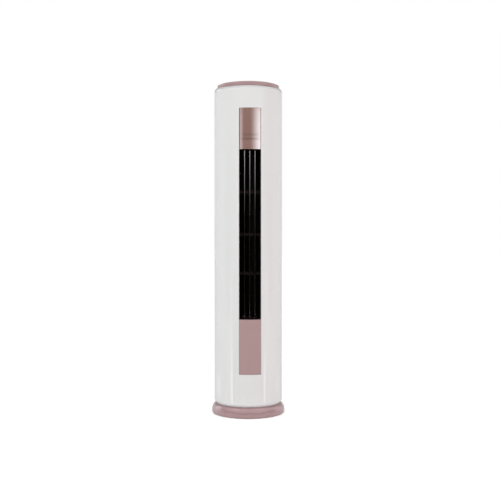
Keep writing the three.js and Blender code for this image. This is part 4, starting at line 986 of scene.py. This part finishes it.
def cassette(name, bottom, body):
    """The cassette's wall: slots from angle to angle and from row to row, and the scoop as a dent.

    The dent is a product: min(1, 6 a) across it, and the sine of 90 degrees times min(1, 1.6 u) up it, where
    a and u fall from 1 in its middle to 0 at its edges.
    """
    reach = INTAKE_HALF - 1.5 * GAP / SHELL_RADIUS
    start, end = np.pi - reach, np.pi + reach
    pitch = (2 * reach - FILTER_BORDER) / FILTER_SLOTS
    count = np.arange(FILTER_SLOTS)
    slots = start + np.stack([count * pitch + FILTER_BORDER, (count + 1) * pitch], -1)
    angle = columns(start, *slots.reshape(-1), end, step=0.8)
    low, high = bottom + GAP, bottom + FILTER_HEIGHT - GAP
    hoop = (low + high) / 2
    level = [low, low + FILTER_RIM, hoop - HOOP_HALF, hoop + HOOP_HALF]
    level = np.concatenate([level, np.linspace(high - FILTER_RIM, high, 13)])
    middle, row = (angle[:-1] + angle[1:]) / 2, np.arange(len(level) - 1)
    in_slot = ((middle[:, None] > slots[:, 0]) & (middle[:, None] < slots[:, 1])).any(1)
    solid = ~(in_slot[:, None] & ((row == 1) | (row == 3)))
    across = np.clip(1 - np.abs((angle - np.pi) * SHELL_RADIUS / SCOOP_HALF), 0, 1)[:, None]
    up = np.clip(1 - np.abs((level - (high - FILTER_RIM / 2)) / SCOOP_RISE), 0, 1)
    dent = SCOOP_DEPTH * np.minimum(1, across * 6) * np.sin(np.pi / 2 * np.minimum(1, up * 1.6))
    outer = around(SHELL_RADIUS - dent, angle[:, None], level)
    inner = around(SHELL_RADIUS - FILTER_WALL, angle[:, None], level)
    made = piece(f"{name}_skin", *wall(outer, inner, solid), body, "filter_grey", [name])
    soft_edges(made, FILTER_EDGE, 1)
    angle = columns(start + NET_SIDE, end - NET_SIDE, step=2)
    level = np.array([low + NET_RIM, high - NET_RIM])
    sheet = [around(NET_RADIUS + out, angle[:, None], level) for out in NET_FACES]
    net = piece(f"{name}_net", *wall(*sheet), body, "filter_grey", [name])
    net.data.materials[0] = finishes["filter_net"]


cassette("filter_lower", INTAKE_BOTTOM, "lower_filter")
cassette("filter_upper", RAIL_TOP, "upper_filter")

# %% [markdown]
# With a cassette pulled out, the coil shows: an upright fin pack, bent round the fan. Its skin is a plain
# curved wall on a fine grid of angles, because its finish draws the fins.

# %% The evaporator behind the filters
COIL_SIDES, COIL_LEVELS = np.radians((108, 252)), np.array([0.5056, 1.434])
angle = columns(*COIL_SIDES, step=2)
fins = [around(r, angle[:, None], COIL_LEVELS) for r in (COIL_OUTER, COIL_INNER)]
piece("evaporator_fin_pack", *wall(*fins), "cabinet", "fin_aluminium", ["evaporator_fins"])

# %% [markdown]
# ## The service corner
#
# Low on the back, a flush cover closes the pipe hole, and a rubber gland waits for the supply lead. The
# cover's face follows the cabinet: a point at (u, v) on the disc goes to the angle u / R and the height v. A
# shallow groove runs round it, a bell curve in the depth, and its rim falls away.

# %% The pipe hole's cover
COVER, COVER_SPOKES, COVER_WALL = PIPE_HOLE - GAP, 96, 0.012
GROOVE, GROOVE_DEPTH, GROOVE_WIDTH, RIM_START, RIM_SLOPE = 0.82 * COVER, 0.0008, 0.0016, 0.97 * COVER, 0.5
spoke = np.concatenate([[0.02, 0.3, 0.6], np.linspace(0.8, 1, 8)]) * COVER
turn = np.linspace(0, 2 * np.pi, COVER_SPOKES + 1)[:-1, None]
u, v = spoke * np.cos(turn), spoke * np.sin(turn)
groove = GROOVE_DEPTH * np.exp(-(((spoke - GROOVE) / GROOVE_WIDTH) ** 2))
dish = groove + np.clip(spoke - RIM_START, 0, None) * RIM_SLOPE
bent, level = PIPE_ANGLE + u / SHELL_RADIUS, SERVICE_LEVEL + v
sides = [around(SHELL_RADIUS - depth, bent, level) for depth in (dish, COVER_WALL)]
front_at, back_at = np.arange(2 * COVER_SPOKES * len(spoke)).reshape(2, COVER_SPOKES, len(spoke))
(a, b, c, d), back = cells(front_at, closed=True), cells(back_at, closed=True)
front_rim, back_rim = front_at[:, -1], back_at[:, -1]
rim = quads(front_rim, back_rim, np.roll(back_rim, -1), np.roll(front_rim, -1))
points = np.stack(sides).reshape(-1, 3)
hubs = [front_at[:, 0][None], back_at[::-1, 0][None]]
faces = [np.concatenate([quads(b, a, d, c), quads(*back), rim]), *hubs]
piece("pipe_hole_cover_skin", points, faces, "cabinet", "gloss_white", ["pipe_hole_cover"])

# %% The cable gland
stem, flange = [(9.7, 173.2), (10, 187.2)], [(15, 187.2), (15, 189), (12.5, 191.8), (7, 191.8)]
section = [(5, 173.2), *stem, *flange, (5, 190)]
reach = np.array([0, 0, 0, 0.3, 0.8, 1.5, 1, 0.8]) * MM
points, faces = revolved(softened(np.array(section) * MM, reach), segments=64)
points = radial(points, GLAND_ANGLE, SERVICE_LEVEL)
piece("cable_gland_skin", points, faces, "cabinet", "rubber", ["cable_gland"])

# %% [markdown]
# ## Screws
#
# The rear shell is held by cross-head screws down both sides. One screw is a dome over a disc whose middle
# is pushed in where the cross is: the depth is full where the point lies within the cross's arms, and fades
# out just outside them.

# %% A screw's head
HEAD_RADIUS, HEAD_HEIGHT, CROSS_DEPTH, HEAD_UNDER = 0.0036, 0.0022, 0.0011, -0.001
HEAD_SIDES, ARM_HALF, ARM_FADE, ARM_REACH, REACH_FADE = 48, 0.17, 0.05, 0.6, 0.1


def screw_head():
    """A pan head on the vertical axis: a dome as high as sqrt(1 - r^4), with a cross pushed in."""
    rings = np.linspace(0, 1, 12)[1:]
    turn = np.linspace(0, 2 * np.pi, HEAD_SIDES, endpoint=False)[:, None]
    x, y = HEAD_RADIUS * rings * np.cos(turn), HEAD_RADIUS * rings * np.sin(turn)
    dome = HEAD_HEIGHT * np.sqrt(np.clip(1 - rings**4, 0, 1)) * np.ones_like(turn)
    arm = np.minimum(np.abs(x), np.abs(y)) / HEAD_RADIUS
    long = np.maximum(np.abs(x), np.abs(y)) / HEAD_RADIUS
    cross = np.clip((ARM_HALF - arm) / ARM_FADE, 0, 1) * np.clip((ARM_REACH - long) / REACH_FADE, 0, 1)
    grid = np.stack([x, y, dome - CROSS_DEPTH * cross], -1)
    at = np.arange(grid.size // 3).reshape(grid.shape[:2])
    beside = np.roll(at, -1, axis=0)
    a, b, c, d = cells(at, closed=True)
    middle, under = (np.full(HEAD_SIDES, grid.size // 3 + i) for i in (0, 1))
    fans = np.concatenate([np.stack([middle, at[:, 0], beside[:, 0]], -1),
                           np.stack([under, beside[:, -1], at[:, -1]], -1)])
    poles = [[0, 0, HEAD_HEIGHT - CROSS_DEPTH], [0, 0, HEAD_UNDER]]
    return np.concatenate([grid.reshape(-1, 3), poles]), [quads(a, d, c, b), fans]


head, faces = screw_head()
print("a screw's head:", len(head), "points")

# %% The screws
SCREW_SIDE, SCREW_LEVELS = np.radians(107), (0.115, 0.46, 1.0, 1.5, 1.73)
screws = [(radial(head + [0, 0, SHELL_RADIUS], side * SCREW_SIDE, z), faces)
          for side in (1, -1) for z in SCREW_LEVELS]
piece("rear_shell_screws", *together(*screws), "cabinet", "zinc_steel")

# %% [markdown]
# ## The studio
#
# The picture is a product shot on pure white. The world lights the object evenly from all round, two soft
# lamps give it a little shape, and the floor keeps its shadow. A gloss surface also shows what stands round
# it, so the studio's cards are modelled too, as shapes that only mirrored rays see. They leave the light
# and the white background as they are.

# %% The floor
FLOOR_HALF, FLOOR_GLOW = 60.0, 0.40


def staged(name, points, faces, material):
    """A sheet that belongs to the studio and not to the part."""
    mesh = bpy.data.meshes.new(name)
    mesh.from_pydata(points, [], faces)
    mesh.materials.append(material)
    made = placed(name, mesh)
    print(f"studio: {name}")
    return made


ground, tree = new_material("studio_floor")
shader = tree.nodes["Principled BSDF"]
for socket, value in (("Roughness", 0.9), ("Specular IOR Level", 0.0), ("Emission Color", (1, 1, 1, 1))):
    shader.inputs[socket].default_value = value
pale = blend(tree, noise(tree, 3.0), (0.9, 0.9, 0.9, 1), (0.92, 0.92, 0.92, 1))
seen = math(tree, "MULTIPLY", put(tree, "ShaderNodeLightPath").outputs["Is Camera Ray"], FLOOR_GLOW)
feed(tree, shader, Base_Color=pale, Emission_Strength=seen)
square = [(x * FLOOR_HALF, y * FLOOR_HALF, 0) for x, y in ((-1, -1), (1, -1), (1, 1), (-1, 1))]
staged("floor", square, [(0, 1, 2, 3)], ground)

# %% The world
LIGHT = 0.75
world = bpy.data.worlds.new("white_room")
bpy.context.scene.world = world
world.use_nodes = True
tree = world.node_tree
path = put(tree, "ShaderNodeLightPath").outputs
mirrored = math(tree, "MAXIMUM", path["Is Glossy Ray"], path["Is Transmission Ray"])
shown = math(tree, "MAXIMUM", path["Is Camera Ray"], mirrored)
background = tree.nodes["Background"]
background.inputs["Color"].default_value = (1, 1, 1, 1)
feed(tree, background, Strength=math(tree, "MULTIPLY_ADD", shown, 1.0 - LIGHT, LIGHT))
print("world: white where it is seen or mirrored, and a light of", LIGHT)

# %% Two soft lamps


def turned_to(direction):
    """The turn that points a lamp's -Z along a direction: arccos(-z) about X, arctan2(-x, y) about Z."""
    x, y, z = direction / np.linalg.norm(direction)
    return (np.arccos(-z), 0, np.arctan2(-x, y))


def lamp(name, place, size, power, colour, target=(0, 0, 0.95)):
    """A square area lamp that looks at the cabinet, and isn't mirrored."""
    data = bpy.data.lights.new(name, "AREA")
    data.shape, data.size, data.energy, data.color = "SQUARE", size, power, colour
    made = placed(name, data)
    made.location = place
    made.rotation_euler = turned_to(np.array(target) - np.array(place))
    made.visible_glossy = False
    print(f"{name}: {power} W")


lamp("key_left", (-3.5, -3.2, 1.7), 2.6, 62, (0.97, 1.0, 1.0))
lamp("key_right", (3.6, -3.0, 1.5), 2.6, 50, (1.0, 0.86, 0.84))

# %% [markdown]
# ### What the gloss mirrors
#
# The big card is a curved wall behind the camera. Its glow is a function of the angle round the cabinet and
# the height: a broad cool field on the right and a narrow one on the left. Both grow from about the height
# that the blades' middle mirrors, end below the level that the cap mirrors, and lie on a dark ground that
# is a little warm. Lower down, two pale strips stand towards the wall's sides. A dark cloth lies on the
# floor before it, so the blades' bright edges die away downwards.

# %% Cards that only mirrored rays see


def glowing(name):
    """A material with nothing but an Emission shader. Gives it, its node tree and that shader."""
    made, tree = new_material(name)
    tree.nodes.remove(tree.nodes["Principled BSDF"])
    light = put(tree, "ShaderNodeEmission")
    feed(tree, tree.nodes["Material Output"], Surface=light.outputs[0])
    return made, tree, light


def mirrored_card(name, grid, material):
    """A grid of points as a sheet that is seen by glossy rays alone."""
    at = np.arange(grid.size // 3).reshape(grid.shape[:2])
    made = staged(name, grid.reshape(-1, 3).tolist(), quads(*cells(at)).tolist(), material)
    made.visible_camera = made.visible_diffuse = False
    made.visible_shadow = made.visible_transmission = False


def plain_card(name, grid, glow):
    """A card that glows the same all over."""
    card, _, light = glowing(name)
    light.inputs["Color"].default_value = (*glow, 1)
    mirrored_card(name, grid, card)


# %% The wall behind the camera
WALL_RADIUS, WALL_SIDE, WALL_LEVELS = 6.0, 85, (0.01, 3.15)
BROAD_RISE, BROAD_FALL, NARROW_MIDDLE, NARROW_RISE, NARROW_GLOW = (2, 40), (47, 39), -28, (13, 0.5), 0.36
FIELD_FOOT, FIELD_HEAD, DARK_GLOW, DARK_RISE = (1.0, 2.3), (2.85, 2.7), 0.012, 0.25
STRIP_MIDDLE, STRIP_RISE, STRIP_HEAD = 61, (4, 1), (0.8, 0.5)
COOL, STRIP = (1.2, 1.67, 1.92, 1), (1.9, 1.8, 2.0, 1)
WARM = (("Red", 1.0), ("Green", 0.87), ("Blue", 0.85))
card, tree, light = glowing("studio_wall")
turn, _, _, z = cabinet_place(tree)
side = math(tree, "DEGREES", turn)
broad = math(tree, "MULTIPLY", ramp(tree, side, *BROAD_RISE), ramp(tree, side, *BROAD_FALL))
near = ramp(tree, off_by(tree, side, NARROW_MIDDLE), *NARROW_RISE)
narrow = math(tree, "MULTIPLY", math(tree, "POWER", near, 2.0), NARROW_GLOW)
raised = math(tree, "POWER", ramp(tree, z, *FIELD_FOOT), 2.0)
lifted = math(tree, "MULTIPLY", raised, ramp(tree, z, *FIELD_HEAD))
bright = math(tree, "MULTIPLY", math(tree, "MAXIMUM", broad, narrow), lifted)
dark = math(tree, "MULTIPLY_ADD", raised, DARK_RISE, DARK_GLOW)
warm = put(tree, "ShaderNodeCombineColor", {name: math(tree, "MULTIPLY", dark, part) for name, part in WARM})
fields = blend(tree, bright, warm.outputs[0], COOL)
at_side = ramp(tree, off_by(tree, math(tree, "ABSOLUTE", side), STRIP_MIDDLE), *STRIP_RISE)
strip = math(tree, "MULTIPLY", at_side, ramp(tree, z, *STRIP_HEAD))
feed(tree, light, Color=blend(tree, strip, fields, STRIP))
angle, level = np.radians(np.linspace(-WALL_SIDE, WALL_SIDE, 60)), np.linspace(*WALL_LEVELS, 12)
mirrored_card("studio_wall", around(WALL_RADIUS, angle[:, None], level), card)

# %% The dark cloth on the floor
ON_FLOOR, CLOTH_SIDES, CLOTH_REACH = 0.003, (-56, 58), (0.7, 5.9)
angle, out = np.radians(np.linspace(*CLOTH_SIDES, 30))[:, None], np.linspace(*CLOTH_REACH, 8)
plain_card("dark_cloth", around(out, angle, ON_FLOOR), (0.03, 0.03, 0.03))

# %% [markdown]
# A grey sweep stands far round the back, on a grey ground. It is pale as high as the cabinet's sides mirror
# it and darker above, so that the outline stays crisp against the white. A pale card hangs before it on
# each side, just above that height, where only the roundings of the ring, the cap and the shoulder mirror
# it. Four narrow ones hang higher up, beside and before the cabinet.

# %% The grey sweep and its ground
FAR, SWEEP_SIDES, SWEEP_TOP = 100.0, (86, 274), 80
SWEEP_RADIUS, GROUND_START = FAR * 1.05, 0.7
PALE_LEVELS, GREY, PALER = (0.24 * FAR, 0.22 * FAR), 0.22, 0.5
card, tree, light = glowing("grey_sweep")
low_part = ramp(tree, cabinet_place(tree)[3], *PALE_LEVELS)
shade = math(tree, "MULTIPLY_ADD", low_part, PALER, GREY)
grey = put(tree, "ShaderNodeCombineColor", {"Red": shade, "Green": shade, "Blue": shade}).outputs[0]
feed(tree, light, Color=grey)
angle, up = np.radians(np.linspace(*SWEEP_SIDES, 60))[:, None], np.radians(np.linspace(0.01, SWEEP_TOP, 20))
mirrored_card("grey_sweep", around(SWEEP_RADIUS * np.cos(up), angle, SWEEP_RADIUS * np.sin(up)), card)
mirrored_card("grey_ground", around(np.geomspace(GROUND_START, FAR, 12), angle, ON_FLOOR), card)

# %% The far cards
for name, sides, elevations, glow in (
    ("far_left", (-140, -108), (13.6, 36), (1.9, 1.78, 1.95)),
    ("far_right", (94, 128), (13.6, 36), (1.25, 1.22, 1.25)),
    ("high_left", (-98, -90), (44, 74), (3.6, 3.4, 3.7)),
    ("high_right", (94, 101), (44, 72), (2.6, 2.5, 2.6)),
    ("front_left", (-66, -58), (46, 70), (3.6, 3.5, 3.7)),
    ("front_right", (52, 59), (46, 70), (2.8, 2.7, 2.8)),
):
    angle = np.radians(np.linspace(*sides, 9))[:, None]
    up = np.radians(np.linspace(*elevations, 5))
    plain_card(name, around(FAR * np.cos(up), angle, FAR * np.sin(up)), glow)

# %% [markdown]
# Two small cards stand close by, just over the floor on either side, and lay pale patches on the base ring.
# Two strips lie on the floor, widening as they go away from the cabinet, and draw the faint upright lines
# low on the shell.

# %% The near cards beside the base
CARD_HALF, CARD_LEVELS = 0.10, (0.02, 0.14)
for name, x, y, way, glow in (
    ("near_left", -0.56, 0.14, -121, (1.5, 1.4, 1.55)),
    ("near_right", 0.56, 0.05, 112, (1.05, 1.02, 1.05)),
):
    across = around(1.0, np.radians(way + 90), 0.0)
    foot = np.array([x, y, 0.0]) + np.array([[-CARD_HALF], [CARD_HALF]]) * across
    rise = np.linspace(*CARD_LEVELS, 3)[None, :, None] * (0, 0, 1)
    plain_card(name, foot[:, None] + rise, glow)

# %% The strips on the floor
STRIP_ENDS, STRIP_LEVEL, STRIP_HALF, STRIP_FLARE = (0.3, 2.8), 0.006, 0.01, 0.04
out = np.linspace(*STRIP_ENDS, 6)[:, None]
for name, side, heading in (("floor_strip_left", -30, -60), ("floor_strip_right", 27, 54)):
    start = around(SHELL_RADIUS, np.radians(side), STRIP_LEVEL)
    away, across = (around(1.0, np.radians(heading + more), 0.0) for more in (0, 90))
    edges = [start + out * away + way * (STRIP_HALF + STRIP_FLARE * out) * across for way in (-1, 1)]
    plain_card(name, np.stack(edges, 1), (3.5, 3.5, 3.6))

# %% [markdown]
# ## The camera
#
# The picture was taken level, from about half the cabinet's height, 4.3 m away. The camera stands three
# degrees to the left, so the window sits right of the cabinet's middle. A small shift, counted in the
# picture's pixels, gives the framing.

# %% The camera
AZIMUTH, DISTANCE, HEIGHT = np.radians(-3.1), 4.29, 0.912
LENS, SENSOR = 55.745, 36.0
PICTURE, SHIFT_X, SHIFT_Y = 500, 1.75, -3.14
camera = bpy.data.cameras.new("camera")
camera.lens, camera.sensor_width = LENS, SENSOR
camera.shift_x, camera.shift_y = SHIFT_X / PICTURE, SHIFT_Y / PICTURE
view = placed("camera", camera)
view.location = around(DISTANCE, AZIMUTH, HEIGHT)
view.rotation_euler = (np.pi / 2, 0, AZIMUTH)
bpy.context.scene.camera = view
bpy.context.scene.view_settings.view_transform = "Standard"
print("camera at", [round(float(v), 3) for v in view.location])
